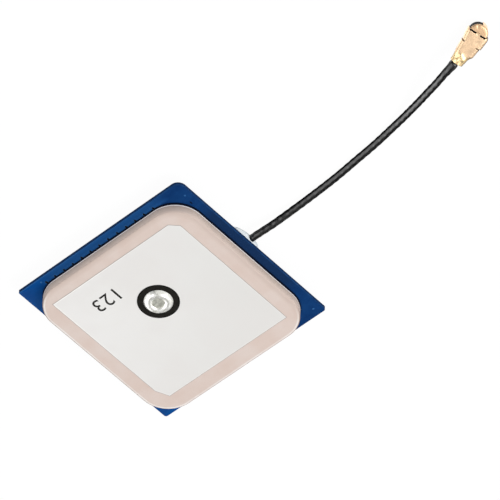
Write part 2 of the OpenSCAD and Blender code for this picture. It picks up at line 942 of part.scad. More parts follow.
module plug_shell() {
    color("#d9b45e")
        at_plug() {
            mating_ring();
            hinge_strap();
            translate([0, 0, lid_z])
                linear_extrude(shell_t)
                    top_sheet();
            wings(wing_front_x, wing_front_l, wing_front_w, wing_front_foot);
            wings(wing_rear_x, wing_rear_l, wing_rear_w, wing_rear_foot);
            crimp_barrel();
        }
}

// Contact tube that stands in the ring, with a tail back to the conductor
module contact_shape() {
    translate([plug_reach, 0, contact_foot])
        cylinder(d = contact_d, h = tail_z + contact_tail_t - contact_foot);
    translate([plug_core_x - core_lap, -contact_d / 4, tail_z])
        cube([plug_reach - plug_core_x + core_lap, contact_d / 2, contact_tail_t]);
}

module plug_contact() {
    color("#e0bc66")
        at_plug()
            difference() {
                contact_shape();
                translate([plug_reach, 0, 0])
                    cylinder(d = contact_bore, h = tail_z);
            }
}

module plug_insulator() {
    top_z = lid_z - insulator_gap;
    rim_cut = hinge_r - shell_t;
    color("#2b2724")
        at_plug()
            difference() {
                union() {
                    intersection() {
                        translate([plug_reach, 0, 0])
                            rotate_extrude()
                                polygon([[0, insulator_foot], [insulator_r, insulator_foot],
                                         [insulator_r, top_z - rim_cut], [insulator_r - rim_cut, top_z],
                                         [0, top_z]]);
                        translate([slot_x, -ring_od, 0])
                            cube(2 * ring_od);
                    }
                    translate([block_x, -lid_front_w / 2, insulator_foot])
                        cube([plug_reach - block_x, lid_front_w, top_z - insulator_foot]);
                    translate([plug_reach, 0, contact_foot + collar_t])
                        cylinder(d = contact_d + 2 * collar_t, h = insulator_foot - contact_foot);
                }
                contact_shape();
                translate([0, 0, axis_z])
                    bar_x(core_d, block_x - 1, plug_core_x);
            }
}

circuit_board();
ceramic_body();
top_electrode();
ground_electrode();
adhesive_pad();
solder_stop_ring();
feed_pin();
feed_solder();
pin_solder();
shield_can();
can_solder();
lna_chip();
saw_filter();
chip_capacitors();
chip_resistors();
chip_inductors();
cable();
braid_ends();
dielectric_ends();
core_ends();
braid_solder();
core_solder();
glue_bead();
plug_shell();
plug_insulator();
plug_contact();
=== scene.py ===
import math

import bmesh
import bpy
from mathutils import Matrix, Vector, noise


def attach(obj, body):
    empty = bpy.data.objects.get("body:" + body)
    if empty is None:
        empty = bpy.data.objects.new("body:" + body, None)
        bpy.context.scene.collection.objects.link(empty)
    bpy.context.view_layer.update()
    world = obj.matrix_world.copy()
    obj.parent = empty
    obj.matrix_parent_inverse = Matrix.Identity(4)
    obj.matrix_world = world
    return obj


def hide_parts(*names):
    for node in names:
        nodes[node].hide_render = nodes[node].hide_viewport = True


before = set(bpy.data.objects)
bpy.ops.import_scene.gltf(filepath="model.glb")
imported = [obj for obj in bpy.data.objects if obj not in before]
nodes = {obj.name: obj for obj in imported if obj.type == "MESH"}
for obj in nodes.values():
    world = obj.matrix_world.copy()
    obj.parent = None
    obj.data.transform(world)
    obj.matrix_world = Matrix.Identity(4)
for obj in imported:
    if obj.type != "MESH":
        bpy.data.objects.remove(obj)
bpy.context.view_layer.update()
scene = bpy.context.scene
mm = 0.001
weldGap = 1e-7  # metres: points that lie closer are one
print("frame loaded:", len(nodes), "nodes")


def addObject(name, data):
    thing = bpy.data.objects.new(name, data)
    scene.collection.objects.link(thing)
    return thing


# camera: where it stands round the board, how it is rolled, and what it aims at
cameraFacts = {
    "azimuth": 136.09, "elevation": 50.449, "roll": 182.252, "distance": 770, "lens": 446.2, "sensor": 36,
    "aimRight": 9.672, "aimUp": 6.402, "aimHeight": 2.6, "clip": [0.01, 20],
}


def placeCamera(facts):
    around, rise, roll = (math.radians(facts[k]) for k in ("azimuth", "elevation", "roll"))
    back = Vector((math.sin(around) * math.cos(rise), -math.cos(around) * math.cos(rise), math.sin(rise)))
    levelRight = Vector((0, 0, 1)).cross(back).normalized()
    levelUp = back.cross(levelRight)
    right = levelRight * math.cos(roll) + levelUp * math.sin(roll)
    up = levelUp * math.cos(roll) - levelRight * math.sin(roll)
    spot = back * facts["distance"] + right * facts["aimRight"] + up * facts["aimUp"]
    spot.z += facts["aimHeight"]
    data = bpy.data.cameras.new("camera")
    data.lens, data.sensor_width = facts["lens"], facts["sensor"]
    data.clip_start, data.clip_end = facts["clip"]
    camera = addObject("camera", data)
    turn = Matrix((right, up, back)).transposed().to_4x4()
    camera.matrix_world = Matrix.Translation(spot * mm) @ turn
    scene.camera = camera


placeCamera(cameraFacts)
print("camera placed")


def tone(*colour):  # red, green and blue as seen on screen, 0 to 255, made linear
    return tuple(((c / 255 + 0.055) / 1.055) ** 2.4 if c > 10 else c / 3294.6 for c in colour) + (1,)


def fillInputs(tree, node, inputs):  # a socket is linked, and any other value is set
    for key, value in inputs.items():
        if isinstance(value, bpy.types.NodeSocket):
            tree.links.new(value, node.inputs[key])
        else:
            node.inputs[key].default_value = value


def addNode(tree, kind, inputs=None, **settings):
    node = tree.nodes.new("ShaderNode" + kind)
    for key, value in settings.items():
        setattr(node, key, value)
    fillInputs(tree, node, inputs or {})
    return node


socketNames = {
    "metal": "Metallic", "shine": "Specular IOR Level", "clear": "Transmission Weight", "bend": "IOR",
    "glow": "Emission Color", "glowing": "Emission Strength",
}


def objectPoint(tree):
    return addNode(tree, "TexCoord").outputs["Object"]


def startMaterial(name):
    material = bpy.data.materials.new(name)
    material.use_nodes = True
    return material, material.node_tree, objectPoint(material.node_tree)


# noise whose blotches are size millimetres wide
def grain(tree, point, size, detail=3.0, rough=0.55, warp=0.0):
    return addNode(tree, "TexNoise", {
        "Vector": point, "Scale": 1 / (size * mm), "Detail": detail, "Roughness": rough, "Distortion": warp,
    }).outputs["Fac"]


def remap(tree, value, low, high, first=0.0, last=1.0):
    return addNode(tree, "MapRange", {
        "Value": value, "From Min": low, "From Max": high, "To Min": first, "To Max": last,
    }).outputs["Result"]


def ramp(tree, value, low, high, first=0.0, last=1.0):  # low and high in millimetres
    return remap(tree, value, low * mm, high * mm, first, last)


def blend(tree, share, first, second):  # three numbers are a colour as seen on screen
    first, second = (tone(*c) if isinstance(c, tuple) and len(c) == 3 else c for c in (first, second))
    return addNode(tree, "Mix", {0: share, 6: first, 7: second}, data_type="RGBA").outputs[2]


def mathNode(tree, operation, *values):
    return addNode(tree, "Math", dict(enumerate(values)), operation=operation).outputs[0]


def times(tree, first, *others):
    for other in others:
        first = mathNode(tree, "MULTIPLY", first, other)
    return first


def vectorNode(tree, operation, first, second=(0, 0, 0)):
    node = addNode(tree, "VectorMath", {0: first, 1: second}, operation=operation)
    return node.outputs["Value" if operation in ("LENGTH", "DISTANCE", "DOT_PRODUCT") else "Vector"]


def axesOf(tree, point):
    return addNode(tree, "SeparateXYZ", {"Vector": point}).outputs


# relief: a height, its depth in millimetres, its strength; rough: a value, or noise and the range it spans
def coat(material, colour, relief, rough, **sockets):
    tree = material.node_tree
    height, depth, strength = relief
    if isinstance(rough, tuple):
        rough = remap(tree, rough[0], 0.3, 0.7, *rough[1:])
    raised = addNode(tree, "Bump", {"Height": height, "Distance": depth * mm, "Strength": strength})
    shader = next(n for n in tree.nodes if n.type == "BSDF_PRINCIPLED")
    inputs = {socketNames[key]: value for key, value in sockets.items()}
    inputs |= {"Base Color": colour, "Normal": raised.outputs[0], "Roughness": rough}
    fillInputs(tree, shader, inputs)
    return material


def plainMaterial(name, dark, light, size, rough, **sockets):  # two close tones in blotches, with a fine bump
    material, tree, point = startMaterial(name)
    cloud = grain(tree, point, size, 4, 0.6)
    return coat(material, blend(tree, remap(tree, cloud, 0.38, 0.62), dark, light),
                (grain(tree, point, size * 0.3, 3), size * 0.02, 0.5), (cloud, *rough), **sockets)


def takeMesh(bm, name):
    mesh = bpy.data.meshes.new(name)
    bm.to_mesh(mesh)
    bm.free()
    return mesh


def addPiece(bm, name, material, replaced=(), smooth=35.0, outward=True):
    if outward:
        bmesh.ops.recalc_face_normals(bm, faces=bm.faces)
    bmesh.ops.remove_doubles(bm, verts=bm.verts, dist=weldGap)
    mesh = takeMesh(bm, name)
    piece = addObject(name, mesh)
    mesh.materials.append(material)
    if smooth:
        mesh.shade_smooth()
        mesh.set_sharp_from_angle(angle=math.radians(smooth))
    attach(piece, "root")
    if replaced:
        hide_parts(*replaced)
    return piece


def lumpAt(spot, size, shift=(0, 0, 0), finer=1):  # smooth noise, -1 to 1, at a point in metres
    return noise.noise(spot * (finer / (size * mm)) + Vector(shift))


def addSquare(bm, half):
    return bmesh.ops.create_grid(bm, x_segments=1, y_segments=1, size=half)["verts"]


def cutCorner(bm, corner, offset, segments=1):
    return bmesh.ops.bevel(bm, geom=[corner], offset=offset * mm, affect="VERTICES", segments=segments,
                           profile=0.5, material=-1)["verts"]


def cutSides(bm, facts):  # divides the straight sides between the corners
    sides = [edge for edge in bm.edges if edge.calc_length() > facts["sideLeast"] * mm]
    bmesh.ops.subdivide_edges(bm, edges=sides, cuts=facts["cuts"])


def thicken(bm, facts):  # sets a second layer of faces above the first, and gives it back
    grown = bmesh.ops.extrude_face_region(bm, geom=bm.faces[:])["geom"]
    risen = [part for part in grown if isinstance(part, bmesh.types.BMVert)]
    bmesh.ops.translate(bm, verts=risen, vec=(0, 0, (facts["high"] - facts["low"]) * mm))
    return [part for part in grown if isinstance(part, bmesh.types.BMFace)]


def spinRound(bm, centre, steps, gap):  # turns all that is drawn about an upright axis
    bmesh.ops.spin(bm, geom=bm.verts[:] + bm.edges[:], cent=centre, axis=(0, 0, 1), angle=math.tau,
                   steps=steps, use_merge=True)
    bmesh.ops.remove_doubles(bm, verts=bm.verts, dist=gap)


plugFacts = {  # where the plug lies, and the sizes that its pieces share, in millimetres
    "x": 51, "y": 5, "turn": 12, "pitch": 17, "roll": 10, "reach": 4.55, "ring": 2.5,
    "height": 1.35, "axis": 0.705, "sheet": 0.15,
}


def plugPlace(facts):  # turns the plug's own axes, from its rear end on the mouth's plane, into the frame
    turn, pitch, roll = (math.radians(facts[k]) for k in ("turn", "pitch", "roll"))
    lift = facts["reach"] * math.sin(pitch)
    lift += facts["ring"] / 2 * math.hypot(math.sin(pitch), math.cos(pitch) * math.sin(roll))
    return (Matrix.Translation((facts["x"], facts["y"], lift)) @ Matrix.Rotation(turn, 4, "Z")
            @ Matrix.Rotation(pitch, 4, "Y") @ Matrix.Rotation(-roll, 4, "X"))


plugFrame = plugPlace(plugFacts)


def plugPoint(along):
    return list(plugFrame @ Vector((along, 0, plugFacts["axis"])))


# the same points as the solid's route, in millimetres
leadRoute = [
    [13.6, 0.4, 1.5], [14.1, 0.4, 1.5], [14.8, 0.4, 1.5], [17.2, 0.25, 1.22],
    [19.8, 0.1, 0.85], [22.6, 0.05, 0.58], [25.6, 0.15, 0.48], [28.2, 0.35, 0.48],
    [31.2, 0.68, 0.48], [32.9, 0.85, 0.48], [34.6, 1.05, 0.48], [36.2, 1.3, 0.51],
    [37.9, 1.63, 0.62], [39.7, 2.03, 0.84], [41.5, 2.53, 1.18], [43.35, 3.1, 1.6],
    [45.2, 3.72, 2.05], [47.05, 4.32, 2.42], [48.8, 4.82, 2.65],
    plugPoint(-0.8), plugPoint(0), plugPoint(1.4),
]
leadFacts = {
    "diameter": 0.95, "sides": 28, "ringGap": 0.13, "ripple": 0.022, "ripplePitch": 1.15,
    "strands": 2, "cross": 0.7, "crossPitch": 0.83, "swell": 0.12, "swellLength": 3.0,
    "gripped": 1.5, "gripFade": 0.25,
    # shift to one side by distance from the plug's end
    "aside": [[0, 0.15], [1.6, 0.15], [2.2, 0.14], [3, 0.04], [4.1, -0.08], [5.5, -0.12], [7.2, -0.085],
              [36.4, -0.085], [38.9, 0]],
    "tones": [(2, 2, 2), (7, 7, 7)], "fleck": (12, 12, 12), "rough": [0.18, 0.34],
    "braidTurns": 12, "braidShare": 0.5, "braidDepth": 0.02,
}


def smoothPoint(points, i, t):
    p0, p1, p2, p3 = (Vector(points[min(max(i + k, 0), len(points) - 1)]) for k in (-1, 0, 1, 2))
    return 0.5 * (2 * p1 + (p2 - p0) * t + (2 * p0 - 5 * p1 + 4 * p2 - p3) * t * t
                  + (3 * p1 - p0 - 3 * p2 + p3) * t * t * t)


def evenPath(points, gap, parts=40):  # points a gap apart along the smooth curve, in metres
    fine = [smoothPoint(points, i, k / parts) for i in range(len(points) - 1) for k in range(parts)]
    fine.append(Vector(points[-1]))
    reach = [0.0]
    for a, b in zip(fine, fine[1:]):
        reach.append(reach[-1] + (b - a).length)
    count = max(2, round(reach[-1] / gap))
    made, j = [], 0
    for i in range(count + 1):
        want = reach[-1] * i / count
        while j < len(fine) - 2 and reach[j + 1] < want:
            j += 1
        share = (want - reach[j]) / (reach[j + 1] - reach[j])
        made.append(fine[j].lerp(fine[j + 1], share) * mm)
    return made, reach[-1] * mm


def tableAt(rows, x):
    for (x0, y0), (x1, y1) in zip(rows, rows[1:]):
        if x <= x1:
            way = max(0.0, (x - x0) / (x1 - x0))
            return y0 * (1 - way) + y1 * way
    return rows[-1][1]


def jacketMaterial(facts):  # the braid's crossed strands show faintly through the jacket
    material, tree, point = startMaterial("blackJacket")
    around, along, _ = axesOf(tree, addNode(tree, "UVMap", uv_map="lay").outputs["UV"])
    mottle = grain(tree, point, 0.55, 4, 0.6)
    fine = grain(tree, point, 0.12, 2)
    shade = blend(tree, remap(tree, mottle, 0.42, 0.62), *facts["tones"])
    shade = blend(tree, remap(tree, fine, 0.55, 0.75, 0, 0.35), shade, facts["fleck"])
    slide = times(tree, along, math.tau / (facts["ripplePitch"] * mm))
    turns = facts["braidTurns"] * math.tau
    strands = [mathNode(tree, "SINE", mathNode(tree, "MULTIPLY_ADD", around, way, slide))
               for way in (turns, -turns)]
    weave = mathNode(tree, "MULTIPLY_ADD", times(tree, *strands), facts["braidShare"], fine)
    return coat(material, shade, (weave, facts["braidDepth"], 0.35),
                remap(tree, mottle, 0.35, 0.65, *facts["rough"]), shine=0.75)


def makeLead(facts):
    path, length = evenPath(leadRoute, facts["ringGap"])
    for i, spot in enumerate(path):  # lies a little to one side between its two held ends
        spot.y += tableAt(facts["aside"], (1 - i / (len(path) - 1)) * length / mm) * mm
    sides, radius = facts["sides"], facts["diameter"] / 2 * mm
    bm = bmesh.new()
    ring = bmesh.ops.create_circle(bm, cap_ends=False, segments=sides, radius=radius)["verts"]
    place = Matrix.Identity(4)
    rings = []
    side = Vector((0, 1, 0))
    for i, spot in enumerate(path):
        ahead = (path[min(i + 1, len(path) - 1)] - path[max(i - 1, 0)]).normalized()
        side = (side - ahead * side.dot(ahead)).normalized()
        turn = Matrix((side, ahead.cross(side), ahead)).transposed().to_4x4()
        nextPlace = Matrix.Translation(spot) @ turn
        if i:
            edges = {e for v in ring for e in v.link_edges if e.other_vert(v) in ring}
            grown = bmesh.ops.extrude_edge_only(bm, edges=list(edges))["geom"]
            newRing = [g for g in grown if isinstance(g, bmesh.types.BMVert)]
            ring = [min(newRing, key=lambda v, o=old: (v.co - o.co).length) for old in ring]
        bmesh.ops.transform(bm, matrix=nextPlace @ place.inverted(), verts=ring)
        place = nextPlace
        rings.append(list(ring))
    bmesh.ops.holes_fill(bm, edges=[e for e in bm.edges if e.is_boundary], sides=sides)
    step = length / (len(path) - 1)
    where = {v: (i, k) for i, row in enumerate(rings) for k, v in enumerate(row)}
    layer = bm.loops.layers.uv.new("lay")  # once round by metres along
    for face in bm.faces:
        first = [where[v][1] for v in face.verts]
        wraps = max(first) - min(first) > sides / 2
        for loop in face.loops:
            i, k = where[loop.vert]
            loop[layer].uv = ((k + sides * (wraps and k == 0)) / sides, i * step)
    for i, row in enumerate(rings):
        along = i * step / mm
        left = length / mm - facts["gripped"] - along  # what is left before the crimp
        free = min(1.0, max(0.0, left / facts["gripFade"]))
        swell = max(0.0, 1 - abs(left) / facts["swellLength"]) ** 2
        for k, v in enumerate(row):
            around = math.tau * k / sides
            turned = math.tau * along / facts["ripplePitch"]
            wave = math.sin(facts["strands"] * around + turned)
            wave += facts["cross"] * math.sin(turned / facts["crossPitch"] - around)
            out = (v.co - path[i]).normalized()
            v.co += out * (facts["ripple"] * wave * 0.5 + facts["swell"] * swell) * free * mm
            v.co.z = max(v.co.z, 0)
    return addPiece(bm, "coaxJacket", jacketMaterial(facts), ["cable"], 50), path, length


lead, leadPath, leadLength = makeLead(leadFacts)
print("lead made, mm:", round(leadLength / mm, 2))


# tones of the fired ceramic, with painted shade and painted highlights round its rims
ceramicFacts = {
    "centre": [-0.2, -0.15], "half": 12.5, "radius": 4.0, "farFrom": [-1, 3], "topFrom": [4.1, 4.2],
    "body": [(217, 198, 188), (222, 207, 199)], "speck": (204, 184, 173),
    "rimShadeTone": (198, 179, 168), "rimShadeFrom": [0.9, 0.1],
    "flankShadeFrom": [4.3, 4.16], "side": [(210, 192, 178), (228, 209, 198)], "sideShadeFrom": [3.2, 4.2],
    "topRimHighlight": (242, 237, 233), "topRimHighlightAt": 0.26, "topRimHighlightFrom": [0.14, 0.05],
    "edge": (128, 114, 106), "silhouetteShadeFrom": [0.14, 0.07],
    "foot": (250, 246, 244), "footHighlightFrom": [3.12, 3.04], "footHighlightGlow": (250, 240, 236), "footHighlightStrength": 0.22,
}


def ceramicMaterial(facts):
    material, tree, point = startMaterial("firedCeramic")
    x, y, z = axesOf(tree, point)
    core = (facts["half"] - facts["radius"]) * mm
    away = vectorNode(tree, "MULTIPLY", point, (1, 1, 0))
    away = vectorNode(tree, "SUBTRACT", away, [c * mm for c in facts["centre"]] + [0])
    away = vectorNode(tree, "SUBTRACT", vectorNode(tree, "ABSOLUTE", away), (core, core, 0))
    away = vectorNode(tree, "LENGTH", vectorNode(tree, "MAXIMUM", away))
    inside = mathNode(tree, "SUBTRACT", facts["radius"] * mm, away)  # distance from the outline
    far = ramp(tree, mathNode(tree, "ADD", x, y), *facts["farFrom"])
    near = mathNode(tree, "SUBTRACT", 1.0, far)
    cloud = grain(tree, point, 4, 3)
    speck = grain(tree, point, 0.22, 3, 0.65)
    body = blend(tree, remap(tree, cloud, 0.35, 0.65), *facts["body"])
    body = blend(tree, remap(tree, speck, 0.58, 0.72, 0, 0.3), body, facts["speck"])
    # painted shade: the top darkens towards its rim on the far (+X, +Y) sides
    rimShade = times(tree, ramp(tree, inside, *facts["rimShadeFrom"], 0, 0.6), far)
    body = blend(tree, rimShade, body, facts["rimShadeTone"])
    # painted shade: the far flanks darken towards the foot
    sideShade = blend(tree, ramp(tree, z, *facts["sideShadeFrom"]), *facts["side"])
    body = blend(tree, times(tree, ramp(tree, z, *facts["flankShadeFrom"]), far), body, sideShade)
    # painted highlight: a pale line along the top rim on the near (-X, -Y) sides
    light = mathNode(tree, "ABSOLUTE", mathNode(tree, "SUBTRACT", inside, facts["topRimHighlightAt"] * mm))
    light = times(tree, ramp(tree, light, *facts["topRimHighlightFrom"]), near, remap(tree, cloud, 0.4, 0.6, 0.5, 0.9))
    body = blend(tree, light, body, facts["topRimHighlight"])
    # painted shade: a dark line at the silhouette of the near sides, just under the top
    edge = times(tree, ramp(tree, inside, *facts["silhouetteShadeFrom"]), near, ramp(tree, z, *facts["topFrom"]))
    # painted highlight: a pale line along the foot, which also glows
    low = ramp(tree, z, *facts["footHighlightFrom"])
    body = blend(tree, low, blend(tree, edge, body, facts["edge"]), facts["foot"])
    return coat(material, body, (speck, 0.01, 0.5), (speck, 0.55, 0.7), shine=0.2,
                glow=tone(*facts["footHighlightGlow"]), glowing=times(tree, low, facts["footHighlightStrength"]))


def groundMaterial():
    material, tree, point = startMaterial("groundFilm")
    cloud = grain(tree, point, 3, 3)
    return coat(material, blend(tree, remap(tree, cloud, 0.35, 0.65), (212, 210, 206), (230, 228, 225)),
                (cloud, 0.008, 0.4), 0.5, metal=0.25)


inkFacts = {  # the printed ring, a little blacker at both rims
    "centre": [-0.2, 2.2], "inner": [1.98, 1.86], "outer": [2.52, 2.62],
    "body": [(28, 27, 24), (36, 35, 32)], "rim": (4, 4, 3),
}


def inkMaterial(facts):
    material, tree, point = startMaterial("stopInk")
    level = vectorNode(tree, "MULTIPLY", point, (1, 1, 0))
    reach = vectorNode(tree, "DISTANCE", level, [c * mm for c in facts["centre"]] + [0])
    cloud = grain(tree, point, 0.35, 3)
    body = blend(tree, remap(tree, cloud, 0.4, 0.6), *facts["body"])
    rim = mathNode(tree, "MAXIMUM", ramp(tree, reach, *facts["inner"]), ramp(tree, reach, *facts["outer"]))
    return coat(material, blend(tree, rim, body, facts["rim"]), (cloud, 0.012, 0.6), 0.5, shine=0.06)


def brushedMaterial():
    material, tree, point = startMaterial("tinnedSteel")
    drawn = addNode(tree, "Mapping", {"Vector": point, "Scale": (0.06, 1, 1)}).outputs[0]
    streak = grain(tree, drawn, 0.16, 3, 0.6)
    cloud = grain(tree, point, 2.2, 3)
    shade = blend(tree, remap(tree, streak, 0.35, 0.65), (178, 179, 180), (206, 207, 207))
    shade = blend(tree, remap(tree, cloud, 0.5, 0.7, 0, 0.3), shade, (160, 160, 158))
    return coat(material, shade, (streak, 0.01, 0.4), (cloud, 0.26, 0.42), metal=0.55)


# the circuit board: the frame's own form with its sharp left corner, copper under the mask, and vias
boardFacts = {
    "half": 13.5, "low": 2.0, "high": 2.6, "cornerWas": 0.6,
    "cornersNow": [[-1, 1, 0.04], [1, -1, 0.2], [-1, -1, 0.35]],
    "viaPitch": 1.5, "viaCount": 13, "viaShift": -0.65, "viaRow": 12.47, "holeRadius": 0.2,
    "holeStretch": [0.85, 1.4], "haloRadius": 0.29, "haloHigh": 0.018,
    "dots": [[-10.18, 12.94], [12.45, -12.39], [12.65, 11.45]], "dotRadius": 0.17,
    "tick": [12.47, 10.12], "tickStretch": [0.5, 1.3],
}
maskFacts = {  # tones of the solder mask, some of them painted light, and where each begins and ends
    "near": [(14, 52, 104), (20, 62, 116)], "away": [(8, 68, 136), (14, 78, 148)], "paintedLiftFrom": [4, -8],
    "band": [(28, 78, 136), (40, 96, 162)], "bandLiftTowardsCeramic": [12.95, 12.5],
    "bandUp": [12.2, 12.4], "bandRight": [11, 8], "bandLeft": [-10.5, -8],
    "fleck": (20, 98, 160), "darkStrip": (22, 49, 88), "darkStripFrom": [12.2, 12.3], "darkStripHalf": [9.2, 6.7],
    "arrisHighlight": (64, 120, 180), "arrisHighlightFrom": [0.1, 0.04], "arrisHighlightUp": [12.2, 13.2],
    "arrisHighlightAlong": [12, -12, 0.1, 0.6],
}


def maskMaterial(facts):
    material, tree, point = startMaterial("blueMask")
    x, y, _ = axesOf(tree, point)
    farX, farY = (mathNode(tree, "ABSOLUTE", axis) for axis in (x, y))
    inside = mathNode(tree, "SUBTRACT", boardFacts["half"] * mm, mathNode(tree, "MAXIMUM", farX, farY))
    cloud = grain(tree, point, 2.4, 3)
    fine = grain(tree, point, 0.13, 2)
    near, away = (blend(tree, remap(tree, cloud, 0.38, 0.62), *facts[k]) for k in ("near", "away"))
    # painted light: the mask is lighter towards -X, lifting the lamp's shadow there
    body = blend(tree, ramp(tree, x, *facts["paintedLiftFrom"]), near, away)
    # lighter band along +Y over the copper, and lighter still towards the ceramic: painted light that lifts
    # the ceramic's shade
    band = times(tree, ramp(tree, y, *facts["bandUp"]), ramp(tree, x, *facts["bandRight"]),
                 ramp(tree, x, *facts["bandLeft"]))
    body = blend(tree, band, body, blend(tree, ramp(tree, y, *facts["bandLiftTowardsCeramic"]), *facts["band"]))
    body = blend(tree, remap(tree, fine, 0.55, 0.75, 0, 0.16), body, facts["fleck"])
    # darker along the +X side between the corners
    darkStrip = times(tree, ramp(tree, x, *facts["darkStripFrom"]), ramp(tree, farY, *facts["darkStripHalf"]))
    body = blend(tree, darkStrip, body, facts["darkStrip"])
    # painted highlight along the +Y arris, strongest towards the left corner
    arrisHighlight = times(tree, ramp(tree, inside, *facts["arrisHighlightFrom"]), ramp(tree, y, *facts["arrisHighlightUp"]),
                  ramp(tree, x, *facts["arrisHighlightAlong"]))
    return coat(material, blend(tree, arrisHighlight, body, facts["arrisHighlight"]), (cloud, 0.02, 0.5), 0.35, shine=0.02)


laminateFacts = {"coated": [(30, 62, 112), (40, 80, 132)], "weave": (20, 44, 84), "lower": (30, 56, 94),
                 "lowerFrom": [2.42, 2.34], "weaveScale": 5500.0}


def laminateMaterial(facts):
    material, tree, point = startMaterial("laminateEdge")
    weave = addNode(tree, "TexWave", {
        "Vector": point, "Scale": facts["weaveScale"], "Distortion": 1.5, "Detail": 2.0,
    }, bands_direction="Z").outputs["Fac"]
    coated = blend(tree, remap(tree, grain(tree, point, 1.2, 3), 0.4, 0.6), *facts["coated"])
    coated = blend(tree, times(tree, weave, 0.25), coated, facts["weave"])
    # painted shade: the board's edge darkens along its bottom
    lower = ramp(tree, axesOf(tree, point)["Z"], *facts["lowerFrom"])
    return coat(material, blend(tree, lower, coated, facts["lower"]), (weave, 0.01, 0.4), 0.6, shine=0.0)


def makeBoard(facts):
    bm = bmesh.new()
    bm.from_mesh(nodes["circuit_board"].data)
    bmesh.ops.remove_doubles(bm, verts=bm.verts, dist=weldGap)
    for signX, signY, radius in facts["cornersNow"]:
        sign = Vector((signX, signY))
        was, now = (sign * (facts["half"] - r) * mm for r in (facts["cornerWas"], radius))
        for vert in bm.verts:
            away = vert.co.xy - was
            if away.x * signX >= -1e-9 and away.y * signY >= -1e-9:
                vert.co.xy = now + away * (radius / facts["cornerWas"])
    piece = addPiece(bm, "maskedBoard", maskMaterial(maskFacts), ["circuit_board"], 30, False)
    piece.data.materials.append(laminateMaterial(laminateFacts))
    for face in piece.data.polygons:
        face.material_index = int(abs(face.normal.z) < 0.5)  # upright faces show the laminate


def addDisc(bm, spot, stretch, radius, share, depth, segments=14):  # its other face is a share of the radius
    place = Matrix.Translation(Vector(spot) * mm) @ Matrix.Diagonal((*stretch, 1))
    bmesh.ops.create_cone(bm, cap_ends=True, segments=segments, radius1=radius * mm,
                          radius2=share * radius * mm, depth=depth * mm, matrix=place)


def makeVias(facts):
    halos, holes = bmesh.new(), bmesh.new()
    wide, hole, rise = facts["haloRadius"], facts["holeRadius"], facts["haloHigh"]
    for i in range(facts["viaCount"]):
        x = (i - (facts["viaCount"] - 1) / 2) * facts["viaPitch"] + facts["viaShift"]
        for y in (-facts["viaRow"], facts["viaRow"]):
            for level, facing in ((facts["high"], 1), (facts["low"], -1)):
                addDisc(halos, (x, y, level), (1, 1, facing), wide, 1 - 2 * rise / wide, 2 * rise)
                stretch = (*facts["holeStretch"], facing)
                addDisc(holes, (x, y, level + facing * rise), stretch, hole, 0.8, 0.6 * rise)
    addDisc(holes, (*facts["tick"], facts["high"]), (*facts["tickStretch"], 1), hole, 0.8, rise)
    for spot in facts["dots"]:
        addDisc(halos, (*spot, facts["high"]), (1, 1, 1), facts["dotRadius"], 0.6, 2 * rise, 16)
    tented = plainMaterial("tentedPad", (34, 88, 146), (50, 108, 164), 0.3, (0.3, 0.5), shine=0.2)
    dark = plainMaterial("viaDark", (3, 7, 16), (8, 14, 28), 0.2, (0.5, 0.7), shine=0.1)
    addPiece(halos, "viaHalos", tented, smooth=40)
    addPiece(holes, "viaPlugs", dark, smooth=40)


# adhesive squeezed out under the ceramic, all round, dark enough to be a painted contact shadow as well
squeezeFacts = {
    "centre": [-0.2, -0.15], "half": 12.5, "radius": 4.0, "out": 0.085, "inward": 0.7, "low": 2.6,
    "high": 2.8, "innerHigh": 2.77, "band": 0.3, "pull": -0.02, "wobble": 0.032, "wobbleSize": 1.3,
    "segments": 20, "cuts": 64, "sideLeast": 5,
}


def makeSqueeze(facts):
    bm = bmesh.new()
    made = addSquare(bm, (facts["half"] + facts["out"]) * mm)
    bmesh.ops.translate(bm, verts=made, vec=Vector((*facts["centre"], facts["low"])) * mm)
    for vert in made:
        cutCorner(bm, vert, facts["radius"] + facts["out"], facts["segments"])
    cutSides(bm, facts)
    face = bm.faces[:][0]
    bmesh.ops.inset_region(bm, faces=[face], thickness=facts["inward"] * mm, use_even_offset=True,
                           use_boundary=True)
    bmesh.ops.delete(bm, geom=[face], context="FACES_ONLY")
    thicken(bm, facts)
    core = (facts["half"] - facts["radius"]) * mm
    for vert in bm.verts:
        flat = vert.co.xy - Vector(facts["centre"]) * mm
        away = flat - Vector(tuple(min(max(c, -core), core) for c in flat))
        if away.length > (facts["radius"] - facts["band"]) * mm:
            pull = facts["pull"] if vert.co.z > (facts["low"] + facts["high"]) / 2 * mm else 0.0
            reach = lumpAt(vert.co, facts["wobbleSize"]) * facts["wobble"] + pull
            vert.co.xy += away.normalized() * reach * mm
        else:
            vert.co.z = min(vert.co.z, facts["innerHigh"] * mm)
    # near-black: the adhesive, darkened to stand for the contact shadow under the ceramic
    dark = plainMaterial("adhesiveShadowEdge", (9, 14, 30), (18, 25, 46), 0.5, (0.5, 0.7), shine=0.05)
    addPiece(bm, "adhesiveSqueeze", dark, smooth=50)


# the upper silver film: screen printed, so its edge is a little uneven and its rim stands proud
filmFacts = {
    "left": -10.5, "right": 10.1, "near": -10.15, "far": 10.45, "cut": 1.1, "trimX": 0.85, "trimY": 1.85,
    "low": 4.38, "high": 4.41, "cuts": 90, "sideLeast": 3,
    "wobble": 0.02, "wobbleSize": 0.45, "seeds": [3.1, 7.7],
    # width, rise and mark of each step inwards
    "rim": [[0.1, 0.006, 0.65], [0.1, 0, 0.6], [0.05, -0.006, 0.0]],
    "body": [(239, 238, 236), (229, 228, 225)], "paintedFalloffFrom": [-19, 16], "cloud": (230, 227, 224),
    "speck": (216, 212, 208), "rimHighlight": (250, 248, 244), "rimHighlightFrom": [-4, -16], "edge": (172, 163, 158),
}


